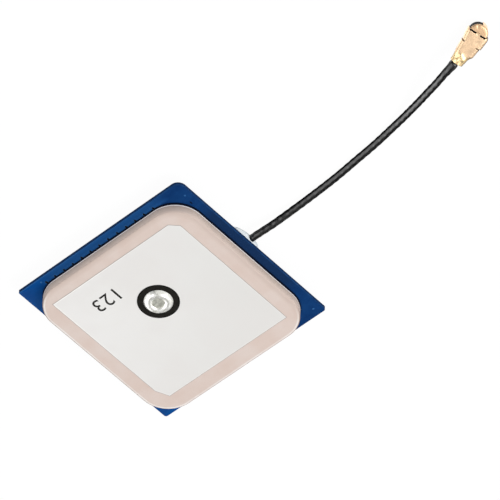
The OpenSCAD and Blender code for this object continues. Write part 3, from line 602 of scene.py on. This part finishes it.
def filmMaterial(facts):
    material, tree, point = startMaterial("silverFilm")
    cloud = grain(tree, point, 7, 2)
    fine = grain(tree, point, 0.09, 3, 0.6)
    x, y, _ = axesOf(tree, point)
    across = mathNode(tree, "SUBTRACT", x, y)
    # painted light: lighter towards the left corner and darker towards the right
    body = blend(tree, ramp(tree, across, *facts["paintedFalloffFrom"]), *facts["body"])
    body = blend(tree, remap(tree, cloud, 0.4, 0.65, 0, 0.5), body, facts["cloud"])
    body = blend(tree, remap(tree, fine, 0.6, 0.8, 0, 0.2), body, facts["speck"])
    mark = addNode(tree, "Attribute", attribute_name="rim").outputs["Fac"]
    # painted highlight on the proud rim, strongest towards the left corner
    shine = mathNode(tree, "MULTIPLY_ADD", ramp(tree, across, *facts["rimHighlightFrom"]), 0.7, 0.25)
    body = blend(tree, times(tree, remap(tree, mark, 0.3, 0.6), shine), body, facts["rimHighlight"])
    body = blend(tree, remap(tree, mark, 0.7, 0.9), body, facts["edge"])
    return coat(material, body, (fine, 0.008, 0.4), (fine, 0.42, 0.6), metal=0.05, shine=0.3)


def makeFilm(facts):
    bm = bmesh.new()
    cuts = {}
    for vert in addSquare(bm, 1):
        right, far = vert.co.x > 0, vert.co.y > 0
        across, along = facts["right" if right else "left"], facts["far" if far else "near"]
        vert.co = Vector((across, along, facts["low"])) * mm
        cuts[right, far] = vert
    cutCorner(bm, cuts[True, True], facts["cut"])
    side = min(cutCorner(bm, cuts[False, False], facts["trimX"]), key=lambda v: v.co.x)
    side.co.y = (facts["near"] + facts["trimY"]) * mm
    cutSides(bm, facts)
    for vert in bm.verts:
        for k, seed in enumerate(facts["seeds"]):
            vert.co[k] += facts["wobble"] * mm * lumpAt(vert.co, facts["wobbleSize"], (seed, 0, 0))
    top = thicken(bm, facts)[0]
    rim = bm.verts.layers.float.new("rim")
    for vert in bm.verts:
        vert[rim] = 1.0
    for width, rise, mark in facts["rim"]:
        bmesh.ops.inset_region(bm, faces=[top], thickness=width * mm, use_even_offset=True)
        for vert in top.verts:
            vert.co.z += rise * mm
            vert[rim] = mark
    addPiece(bm, "silverPatch", filmMaterial(facts), ["top_electrode"], 30)


# solder round the head of the feed pin
moundFacts = {
    "centre": [-0.2, 2.2, 4.41], "steps": 80, "rows": 3, "weld": 2e-6,
    "lump": 0.035, "lumpSize": 0.7, "lumpShift": (2.3, 0.7, 0), "finer": 2.3, "lumpFrom": [0.02, 0.3],
    "profile": [[0.8, 0.0], [0.8, 0.36], [0.95, 0.47], [1.15, 0.54], [1.38, 0.5], [1.6, 0.36], [1.76, 0.17],
                [1.86, 0.035], [1.86, 0.0]],
}


def solderMaterial(name):
    material, tree, point = startMaterial(name)
    cloud = grain(tree, point, 0.6, 4, 0.6)
    ripple = grain(tree, point, 0.28, 2, 0.5, 0.6)
    return coat(material, blend(tree, remap(tree, cloud, 0.38, 0.6), (232, 232, 224), (250, 250, 246)),
                (ripple, 0.02, 0.25), (cloud, 0.2, 0.34), metal=0.5)


def makeMound(facts):
    bm = bmesh.new()
    centre = Vector(facts["centre"]) * mm
    chain = [bm.verts.new(centre + Vector((r, 0, z)) * mm) for r, z in facts["profile"]]
    edges = [bm.edges.new(pair) for pair in zip(chain, chain[1:] + chain[:1])]
    bmesh.ops.subdivide_edges(bm, edges=edges[1:-2], cuts=facts["rows"] - 1, smooth=0.6)
    spinRound(bm, centre, facts["steps"], facts["weld"])
    least, full = facts["lumpFrom"]
    for vert in bm.verts:
        height = (vert.co.z - centre.z) / mm
        if height < least:
            continue
        wave = lumpAt(vert.co, facts["lumpSize"], facts["lumpShift"])
        wave = (wave + 0.5 * lumpAt(vert.co, facts["lumpSize"], finer=facts["finer"])) * facts["lump"] * mm
        flat = vert.co - centre
        flat.z = 0
        vert.co += flat.normalized() * wave * 0.5
        vert.co.z += wave * min(1.0, height / full)
    addPiece(bm, "feedMound", solderMaterial("moundSolder"), ["feed_solder"], 60)


# plain digits printed on the film
digitFacts = {"text": "123", "size": 2.05, "sizeOfFont": 0.73, "x": -4.8, "y": 6.45, "pitch": 1.5,
              "base": 4.413, "thick": 0.012, "stroke": 0.004}


def makeDigits(facts):
    bm = bmesh.new()
    for i, sign in enumerate(facts["text"]):
        curve = bpy.data.curves.new("digitCurve", "FONT")
        curve.body, curve.size = sign, facts["size"] * mm / facts["sizeOfFont"]
        curve.extrude, curve.offset = facts["thick"] / 2 * mm, facts["stroke"] * mm
        curve.align_x = "CENTER"
        holder = bpy.data.objects.new("digitHolder", curve)
        flat = bpy.data.meshes.new_from_object(holder)
        shift = (i - (len(facts["text"]) - 1) / 2) * facts["pitch"]
        spot = Vector((facts["x"] - shift, facts["y"] + facts["size"] / 2, facts["base"])) * mm
        flat.transform(Matrix.Translation(spot) @ Matrix.Rotation(math.pi, 4, "Z"))
        bm.from_mesh(flat)
        bpy.data.objects.remove(holder)
        bpy.data.curves.remove(curve)
        bpy.data.meshes.remove(flat)
    ink = plainMaterial("blackInk", (34, 33, 31), (48, 46, 44), 0.25, (0.5, 0.7), shine=0.15)
    addPiece(bm, "printedDigits", ink, smooth=0, outward=False)


# clear glue that holds the lead to the board's edge, thinner along the edge and held back to the lead's end
# where the lead lies
glueFacts = {
    "middle": [12.8, 0.85, 1.5], "radii": [1.1, 2.3, 0.66], "lump": 0.1, "lumpScale": 2 / 1.1,
    "lumpShift": (4.2, 1.1, 0.3), "ceiling": 1.975, "ceilingWave": 0.02, "floor": 0.62,
    "edge": 13.5, "taper": 1.4, "leadY": 0.4, "leadDip": 0.75, "leadReach": 13.62,
}


def glueMaterial():
    material, tree, point = startMaterial("clearGlue")
    cloud = grain(tree, point, 0.9, 3)
    return coat(material, blend(tree, remap(tree, cloud, 0.38, 0.62), (236, 245, 249), (246, 251, 253)),
                (cloud, 0.02, 0.3), (cloud, 0.22, 0.38), clear=0.1, bend=1.2, shine=0.03)


def makeGlue(facts):
    bm = bmesh.new()
    bmesh.ops.create_icosphere(bm, subdivisions=5, radius=1)
    middle = facts["middle"]
    for vert in bm.verts:
        lump = noise.noise(vert.co * facts["lumpScale"] + Vector(facts["lumpShift"]))
        spread = 1 + facts["lump"] * lump
        spot = Vector(tuple(middle[k] + vert.co[k] * facts["radii"][k] * spread for k in range(3)))
        spot.z = min(spot.z, facts["ceiling"] + facts["ceilingWave"] * noise.noise(spot * 3))
        near = math.exp(-((spot.y - facts["leadY"]) / facts["leadDip"]) ** 4)
        if spot.x > facts["edge"]:
            ebb = max(0.0, 1 - abs(spot.y - middle[1]) / facts["radii"][1]) ** facts["taper"]
            spot.x = facts["edge"] + (spot.x - facts["edge"]) * ebb
        spot.x = spot.x + (min(spot.x, facts["leadReach"]) - spot.x) * near
        spot.z = max(spot.z, facts["floor"])
        vert.co = spot * mm
    return addPiece(bm, "glueBlob", glueMaterial(), ["glue_bead"], 60)


makeBoard(boardFacts)
makeVias(boardFacts)
makeSqueeze(squeezeFacts)
makeFilm(filmFacts)
makeMound(moundFacts)
makeDigits(digitFacts)
glue = makeGlue(glueFacts)
print("board, film, feed, digits and glue made")


# the plug: one folded sheet, from the crimp barrel over both pairs of wings to the ring
sheetFacts = {
    "step": 0.05, "across": 72, "barrelRadius": 0.7, "barrelAside": -0.05, "seam": 0.03,
    "morph": [-0.1, 1.75], "rear": [1.65, 2.85], "rearFoot": 0.35, "front": [3.0, 4.4], "frontFoot": 0.3,
    # half widths by length
    "left": [[0, 0.7], [1.2, 0.86], [1.65, 0.88], [2.85, 1.03], [3.0, 0.98], [4.4, 1.26], [4.7, 1.24]],
    "right": [[0, 0.66], [0.9, 0.82], [1.35, 0.93], [1.65, 1.12], [2.85, 1.2], [3.0, 1.34], [4.35, 1.37],
              [4.65, 1.23]],
    "fold": 0.25, "lip": 0.4, "bridge": 0.3, "bridgeEnd": 4.65, "slotHalf": 1.08, "slotLow": 1.2,
    "notchSide": 0.78, "notchLow": 1.2, "mouthLow": 0.6,
    "warp": 0.012, "warpScale": 1.1, "warpFrom": [0.9, 1.3], "bumpOnBridge": [4.5, 0, 0.14, 0.015],
    # each dent: length, turn round the barrel, reach, depth
    "dents": [[0.42, 20, 0.2, 0.07], [0.85, -28, 0.24, 0.08], [1.2, 14, 0.2, 0.06], [0.62, -70, 0.22, 0.05]],
    "bevel": 0.025, "bevelFrom": 50,
}
capFacts = {  # the ring and the cap that closes it, with its strap down one side
    "start": 4.6, "fold": 0.27, "foldSteps": 5, "edge": 0.13, "flats": [0.0, 0.25, 0.5, 0.75],
    "wallTop": 0.95, "wall": [[0, 0.95], [0, 0.75], [0, 0.5], [0, 0.3], [0, 0.19], [-0.05, 0.12],
                              [0, 0.05], [0, 0.0]],  # each row: offset from the radius, height
    "steps": 80, "weld": 1e-4, "cutGap": 1e-5, "strap": [-38, 6], "slitTurn": 98, "rearHalf": 1.02,
    "dimple": [5.32, 0.52, 0.14, 0.07],
}
skirtFacts = {"inner": 1.09, "outer": 1.12, "low": 0.03, "high": 1.14, "steps": 24, "overlap": 6}


def softStep(value, low, high):
    share = min(1.0, max(0.0, (value - low) / (high - low)))
    return share * share * (3 - 2 * share)


def foldedSpot(share, half, foot, facts):  # point of a C section: share is 0 at its middle and 1 at its lip
    top, fold = plugFacts["height"], facts["fold"]
    turn = fold * math.pi / 2
    flat, drop, lip = half - fold, top - foot - 2 * fold, facts["lip"] - fold
    run = share * (flat + drop + lip + 2 * turn)
    if run < flat:
        return run, top
    run -= flat
    if run < turn:
        return flat + fold * math.sin(run / fold), top - fold + fold * math.cos(run / fold)
    run -= turn
    if run < drop:
        return half, top - fold - run
    run -= drop
    if run < turn:
        return half - fold + fold * math.cos(run / fold), foot + fold - fold * math.sin(run / fold)
    return half - fold - (run - turn), foot


def sheetSpot(x, share, facts):  # outer skin of the sheet at a length x and a share of its half width
    foot = facts["rearFoot"] if x < (facts["rear"][1] + facts["front"][0]) / 2 else facts["frontFoot"]
    y, z = foldedSpot(abs(share), tableAt(facts["left" if share > 0 else "right"], x), foot, facts)
    around = abs(share) * math.pi * (1 - facts["seam"])
    roundY = facts["barrelRadius"] * math.sin(around) + math.copysign(1, share) * facts["barrelAside"]
    roundZ = plugFacts["axis"] + facts["barrelRadius"] * math.cos(around)
    boxed = softStep(x, *facts["morph"])
    y, z = roundY + (y - roundY) * boxed, roundZ + (z - roundZ) * boxed
    return Vector((x, math.copysign(y, share), z))


goldFacts = {  # tones along the plug, from its rear end
    "body": [(231, 199, 163), (239, 206, 169)], "crimp": (250, 220, 168), "crimpFrom": [1.5, 1.0],
    "cap": (216, 178, 138), "capFrom": [4.55, 4.7, 0, 0.75], "speck": (226, 186, 132), "rough": [0.32, 0.46],
}


def goldMaterial(facts):
    material, tree, point = startMaterial("goldPlate")
    cloud = grain(tree, point, 0.9, 4, 0.6)
    fine = grain(tree, point, 0.16, 3, 0.6)
    ahead = plugFrame.to_3x3() @ Vector((1, 0, 0))
    along = vectorNode(tree, "DOT_PRODUCT", point, tuple(ahead))
    along = mathNode(tree, "SUBTRACT", along, plugFrame.translation.dot(ahead) * mm)
    shade = blend(tree, remap(tree, cloud, 0.36, 0.62), *facts["body"])
    shade = blend(tree, ramp(tree, along, *facts["crimpFrom"]), shade, facts["crimp"])
    shade = blend(tree, ramp(tree, along, *facts["capFrom"]), shade, facts["cap"])
    shade = blend(tree, remap(tree, fine, 0.6, 0.8, 0, 0.3), shade, facts["speck"])
    return coat(material, shade, (fine, 0.012, 0.5), (cloud, *facts["rough"]), metal=0.9)


def pressIn(bm, centre, reach, depth):
    for vert in bm.verts:
        gap = (vert.co - centre).length
        if gap < 2.5 * reach:
            vert.co -= vert.normal * depth * math.exp(-(gap / reach) ** 2)


def makeSheet(facts):
    bm = bmesh.new()
    count = round(facts["bridgeEnd"] / facts["step"])
    made = bmesh.ops.create_grid(bm, x_segments=count, y_segments=facts["across"], size=1)["verts"]
    shares = {vert: (round((vert.co.x + 1) / 2 * count) * facts["step"], vert.co.y) for vert in made}
    lengths = {face: sum(shares[v][0] for v in face.verts) / 4 for face in bm.faces}
    for vert, (x, share) in shares.items():
        vert.co = sheetSpot(x, share, facts)
    cut = []
    for face, x in lengths.items():
        middle = face.calc_center_median()
        y, z = abs(middle.y), middle.z
        notched = y > facts["notchSide"] or z < facts["notchLow"]
        notched = notched and facts["rear"][1] < x < facts["front"][0]
        slotted = facts["bridge"] < y < facts["slotHalf"] and z > facts["slotLow"]
        if notched or (x > facts["front"][1] and (slotted or z < facts["mouthLow"])):
            cut.append(face)
    bmesh.ops.delete(bm, geom=cut, context="FACES")
    bmesh.ops.recalc_face_normals(bm, faces=bm.faces)
    if max(bm.faces, key=lambda f: f.calc_center_median().z).normal.z < 0:
        bmesh.ops.reverse_faces(bm, faces=bm.faces)
    bm.normal_update()
    for along, turn, reach, depth in facts["dents"]:
        out = Vector((0, math.sin(math.radians(turn)), math.cos(math.radians(turn)))) * facts["barrelRadius"]
        pressIn(bm, Vector((along, 0, plugFacts["axis"])) + out, reach, depth)
    return bm


def makeRing(facts):
    bm = bmesh.new()
    radius, top, fold = plugFacts["ring"] / 2, plugFacts["height"], facts["fold"]
    centre = Vector((plugFacts["reach"], 0, 0))
    turns = [math.pi / 2 * i / facts["foldSteps"] for i in range(facts["foldSteps"] + 1)]
    profile = [(r, top) for r in facts["flats"]]
    profile += [(radius - fold + fold * math.sin(a), top - fold + fold * math.cos(a)) for a in turns]
    profile += [(radius + out, z) for out, z in facts["wall"]]
    chain = [bm.verts.new(centre + Vector((r, 0, z))) for r, z in profile]
    for pair in zip(chain, chain[1:]):
        bm.edges.new(pair)
    spinRound(bm, centre, facts["steps"], facts["weld"])
    half = facts["rearHalf"]
    for facing, far in (((1, 0, 0), facts["start"]), ((0, 1, 0), half), ((0, 1, 0), -half)):
        bmesh.ops.bisect_plane(bm, geom=bm.verts[:] + bm.edges[:] + bm.faces[:], dist=facts["cutGap"],
                               plane_co=Vector(facing) * far, plane_no=facing)
    cut = []
    for face in bm.faces:
        spot = face.calc_center_median() - centre
        turn = math.degrees(math.atan2(spot.y, spot.x))
        strapped = facts["strap"][0] < turn < facts["strap"][1]
        if spot.z > facts["wallTop"]:
            gone = spot.x < facts["start"] - centre.x or (not strapped and spot.z < top - facts["edge"])
        else:
            gone = not strapped and abs(turn) < facts["slitTurn"]
            gone = gone or (spot.x < 0 and abs(spot.y) < half)
        if gone:
            cut.append(face)
    bmesh.ops.delete(bm, geom=cut, context="FACES")
    bmesh.ops.recalc_face_normals(bm, faces=bm.faces)
    turned = []
    for face in bm.faces:
        spot = face.calc_center_median() - centre
        rise = 3 if spot.z > top - fold else 0  # the cap faces up, and the wall outwards
        if face.normal.dot(Vector((spot.x, spot.y, rise))) < 0:
            turned.append(face)
    bmesh.ops.reverse_faces(bm, faces=turned)
    bm.normal_update()
    x, y, reach, depth = facts["dimple"]
    pressIn(bm, Vector((x, y, top)), reach, depth)
    return bm


def makeSkirt(facts, cap):  # dark plastic that shows through the slits of the ring, made black to stand for the shade there too
    bm = bmesh.new()
    centre = Vector((plugFacts["reach"], 0, 0))
    more, slit = facts["overlap"], cap["slitTurn"]
    for start, end in ((cap["strap"][1] - more, slit + more), (-slit - more, cap["strap"][0] + more)):
        face = addSquare(bm, 1)
        for vert in face:
            across, up = ("outer" if vert.co.x > 0 else "inner"), ("high" if vert.co.y > 0 else "low")
            vert.co = (facts[across], 0, facts[up])
        place = Matrix.Translation(centre) @ Matrix.Rotation(math.radians(start), 4, "Z")
        bmesh.ops.transform(bm, matrix=place, verts=face)
        whole = face + list({e for v in face for e in v.link_edges}) + [face[0].link_faces[0]]
        bmesh.ops.spin(bm, geom=whole, cent=centre, axis=(0, 0, 1), angle=math.radians(end - start),
                       steps=facts["steps"])
    bmesh.ops.transform(bm, matrix=Matrix.Diagonal((mm, mm, mm, 1)) @ plugFrame, verts=bm.verts)
    dark = plainMaterial("skirtShadePlastic", (6, 4, 3), (14, 10, 8), 0.3, (0.4, 0.6), shine=0.04)
    return addPiece(bm, "plugSkirt", dark, smooth=40)


def makePlug(facts):
    bm = makeSheet(facts)
    ring = takeMesh(makeRing(capFacts), "ringSheet")
    bm.from_mesh(ring)
    bpy.data.meshes.remove(ring)
    x, y, reach, depth = facts["bumpOnBridge"]
    bm.normal_update()
    pressIn(bm, Vector((x, y, plugFacts["height"])), reach, -depth)
    for vert in bm.verts:
        wave = noise.noise(vert.co * facts["warpScale"])
        vert.co.z += facts["warp"] * wave * softStep(vert.co.z, *facts["warpFrom"])
        vert.co = (plugFrame @ vert.co) * mm
        vert.co.z = max(vert.co.z, 0)
    piece = addPiece(bm, "plugSheet", goldMaterial(goldFacts), ["plug_shell"], 40, False)
    wall = piece.modifiers.new("wall", "SOLIDIFY")
    wall.thickness, wall.offset, wall.material_offset_rim = plugFacts["sheet"] * mm, -1, 1
    piece.data.materials.append(
        plainMaterial("cutBronze", (70, 52, 38), (96, 74, 54), 0.2, (0.4, 0.5), metal=0.4))
    edge = piece.modifiers.new("edge", "BEVEL")
    edge.width, edge.segments = facts["bevel"] * mm, 2
    edge.limit_method, edge.angle_limit = "ANGLE", math.radians(facts["bevelFrom"])
    return piece


plug = makePlug(sheetFacts)
skirt = makeSkirt(skirtFacts, capFacts)
print("plug made")


# finishes of the frame's own nodes
solder = solderMaterial("brightSolder")
finishes = {
    "ceramic_body": ceramicMaterial(ceramicFacts),
    "ground_electrode": groundMaterial(),
    "adhesive_pad": plainMaterial("adhesivePad", (56, 58, 62), (70, 72, 76), 0.5, (0.6, 0.8)),
    "solder_stop_ring": inkMaterial(inkFacts),
    "feed_pin": plainMaterial("pinHead", (176, 177, 165), (214, 214, 204), 0.45, (0.3, 0.5), metal=0.5),
    "pin_solder": solder, "can_solder": solder, "braid_solder": solder, "core_solder": solder,
    "shield_can": brushedMaterial(),
    "lna_chip": plainMaterial("mouldedChip", (34, 34, 36), (46, 46, 48), 0.3, (0.5, 0.7)),
    "saw_filter": plainMaterial("filterLid", (196, 178, 126), (212, 196, 146), 0.5, (0.3, 0.5), metal=0.8),
    "chip_capacitors": plainMaterial("capacitorBody", (146, 108, 70), (166, 126, 86), 0.3, (0.4, 0.6)),
    "chip_resistors": plainMaterial("resistorBody", (40, 42, 44), (56, 58, 60), 0.3, (0.3, 0.5)),
    "chip_inductors": plainMaterial("inductorBody", (112, 118, 126), (130, 136, 144), 0.3, (0.4, 0.6)),
    "braid_ends": plainMaterial("copperBraid", (168, 108, 66), (198, 134, 86), 0.15, (0.25, 0.45), metal=1.0),
    "dielectric_ends": plainMaterial("whiteInsulation", (232, 228, 220), (242, 240, 234), 0.4, (0.4, 0.6)),
    "core_ends": plainMaterial("tinnedWire", (190, 188, 182), (210, 208, 202), 0.2, (0.25, 0.4), metal=1.0),
    "plug_insulator": plainMaterial("plugPlastic", (16, 13, 12), (26, 22, 20), 0.3, (0.5, 0.7),
                                    shine=0.15),
    "plug_contact": goldMaterial(goldFacts),
}
for nodeName, finish in finishes.items():
    nodes[nodeName].data.materials.clear()
    nodes[nodeName].data.materials.append(finish)
print("frame parts finished")


# lamp, room and floor; glossy rays see panels of their own, and a white sheet under and beside the plug
lightFacts = {
    "keyPower": 2.0, "keySize": 0.35, "keySpot": (0.34, -0.17, 0.5),
    "world": 0.62, "roomLow": (0.75, 0.77, 0.8, 1), "roomHigh": (1.12, 1.11, 1.1, 1), "roomFrom": [-0.1, 0.9],
    "tent": [0.15, 0.6, 0.03, 0.12], "zenith": [0.84, 0.95, 0, 0.44],
    "panels": [[(-0.6, 0.55, 0.58), 0.8, 0.9, 2.0], [(-0.95, 0.0, 0.3), 0.8, 0.93, 2.4],
               [(1, 0, 0), 0.2, 0.5, 0.8], [(0.1, -0.95, 0.3), 0.88, 0.94, 0.8]],
    "floorHalf": 3, "floorShade": 0.8, "floorGlow": 0.96, "floorSeen": 0.05, "floorDrop": 0.02,
    "sheetAlong": (0.6, 0.8, 0), "sheetFrom": [1.5, 1.9], "sheetMiddle": (4, 0, 0),
    "sheetReach": [12, 8, 0, 1.7], "underLead": [17, 12, 0.04, 0.5],
}


def rayKinds(tree):  # what the camera sees, through the glue too, and what is seen in a reflection
    rays = addNode(tree, "LightPath").outputs
    watched = mathNode(tree, "MAXIMUM", rays["Is Camera Ray"], rays["Is Transmission Ray"])
    return watched, rays["Is Glossy Ray"]


def mixShader(tree, share, first, second):
    return addNode(tree, "MixShader", {0: share, 1: first.outputs[0], 2: second.outputs[0]})


def makeFloor(facts):
    bm = bmesh.new()
    bmesh.ops.translate(bm, verts=addSquare(bm, facts["floorHalf"]), vec=(0, 0, -facts["floorDrop"] * mm))
    floor = addObject("floor", takeMesh(bm, "floor"))
    material, tree, _ = startMaterial("paleFloor")
    tree.nodes.clear()
    watched, glossy = rayKinds(tree)
    point = objectPoint(tree)
    bounced, seen = (addNode(tree, "BsdfDiffuse", {"Color": (facts[k],) * 3 + (1,)})
                     for k in ("floorShade", "floorSeen"))
    glow = addNode(tree, "Emission", {"Color": (1, 1, 1, 1), "Strength": facts["floorGlow"]})
    bright = addNode(tree, "AddShader", {0: seen.outputs[0], 1: glow.outputs[0]})
    along = plugFrame.to_3x3() @ Vector(facts["sheetAlong"])
    start, end = (plugFrame.translation.dot(along) + far for far in facts["sheetFrom"])
    ahead = ramp(tree, vectorNode(tree, "DOT_PRODUCT", point, tuple(along)), start, end)
    reach = vectorNode(tree, "DISTANCE", point, tuple(plugFrame @ Vector(facts["sheetMiddle"]) * mm))
    beside = times(tree, ahead, ramp(tree, reach, *facts["sheetReach"]))
    under = ramp(tree, axesOf(tree, point)["X"], *facts["underLead"])
    sheet = addNode(tree, "Emission", {"Strength": mathNode(tree, "ADD", under, beside)})
    chosen = mixShader(tree, glossy, mixShader(tree, watched, bounced, bright), sheet)
    addNode(tree, "OutputMaterial", {"Surface": chosen.outputs[0]})
    floor.data.materials.append(material)


def makeLight(facts):
    lamp = bpy.data.lights.new("keyLight", "AREA")
    lamp.energy, lamp.size = facts["keyPower"], facts["keySize"]
    key = addObject("keyLight", lamp)
    key.location = facts["keySpot"]
    key.rotation_euler = key.location.to_track_quat("Z", "Y").to_euler()


def makeRoom(facts):  # soft room for the surfaces, white for the camera, and panels for reflections
    world = bpy.data.worlds.new("softRoom")
    world.use_nodes = True
    tree = world.node_tree
    tree.nodes.clear()
    way = addNode(tree, "TexCoord").outputs["Generated"]
    height = axesOf(tree, way)["Z"]
    room = blend(tree, remap(tree, height, *facts["roomFrom"]), facts["roomLow"], facts["roomHigh"])
    tent = mathNode(tree, "ADD", remap(tree, height, *facts["tent"]), remap(tree, height, *facts["zenith"]))
    for along, start, end, strength in facts["panels"]:
        towards = remap(tree, vectorNode(tree, "DOT_PRODUCT", way, along), start, end, 0, strength)
        tent = mathNode(tree, "ADD", tent, towards)
    watched, glossy = rayKinds(tree)
    white = (1, 1, 1, 1)
    lit, shiny, seen = (addNode(tree, "Background", {"Color": colour, "Strength": strength})
                        for colour, strength in ((room, facts["world"]), (white, tent), (white, 1.0)))
    chosen = mixShader(tree, watched, mixShader(tree, glossy, lit, shiny), seen)
    addNode(tree, "OutputWorld", {"Surface": chosen.outputs[0]})
    scene.world = world


makeFloor(lightFacts)
makeLight(lightFacts)
makeRoom(lightFacts)
scene.view_settings.view_transform = "Standard"
print("floor, lamp and room made")
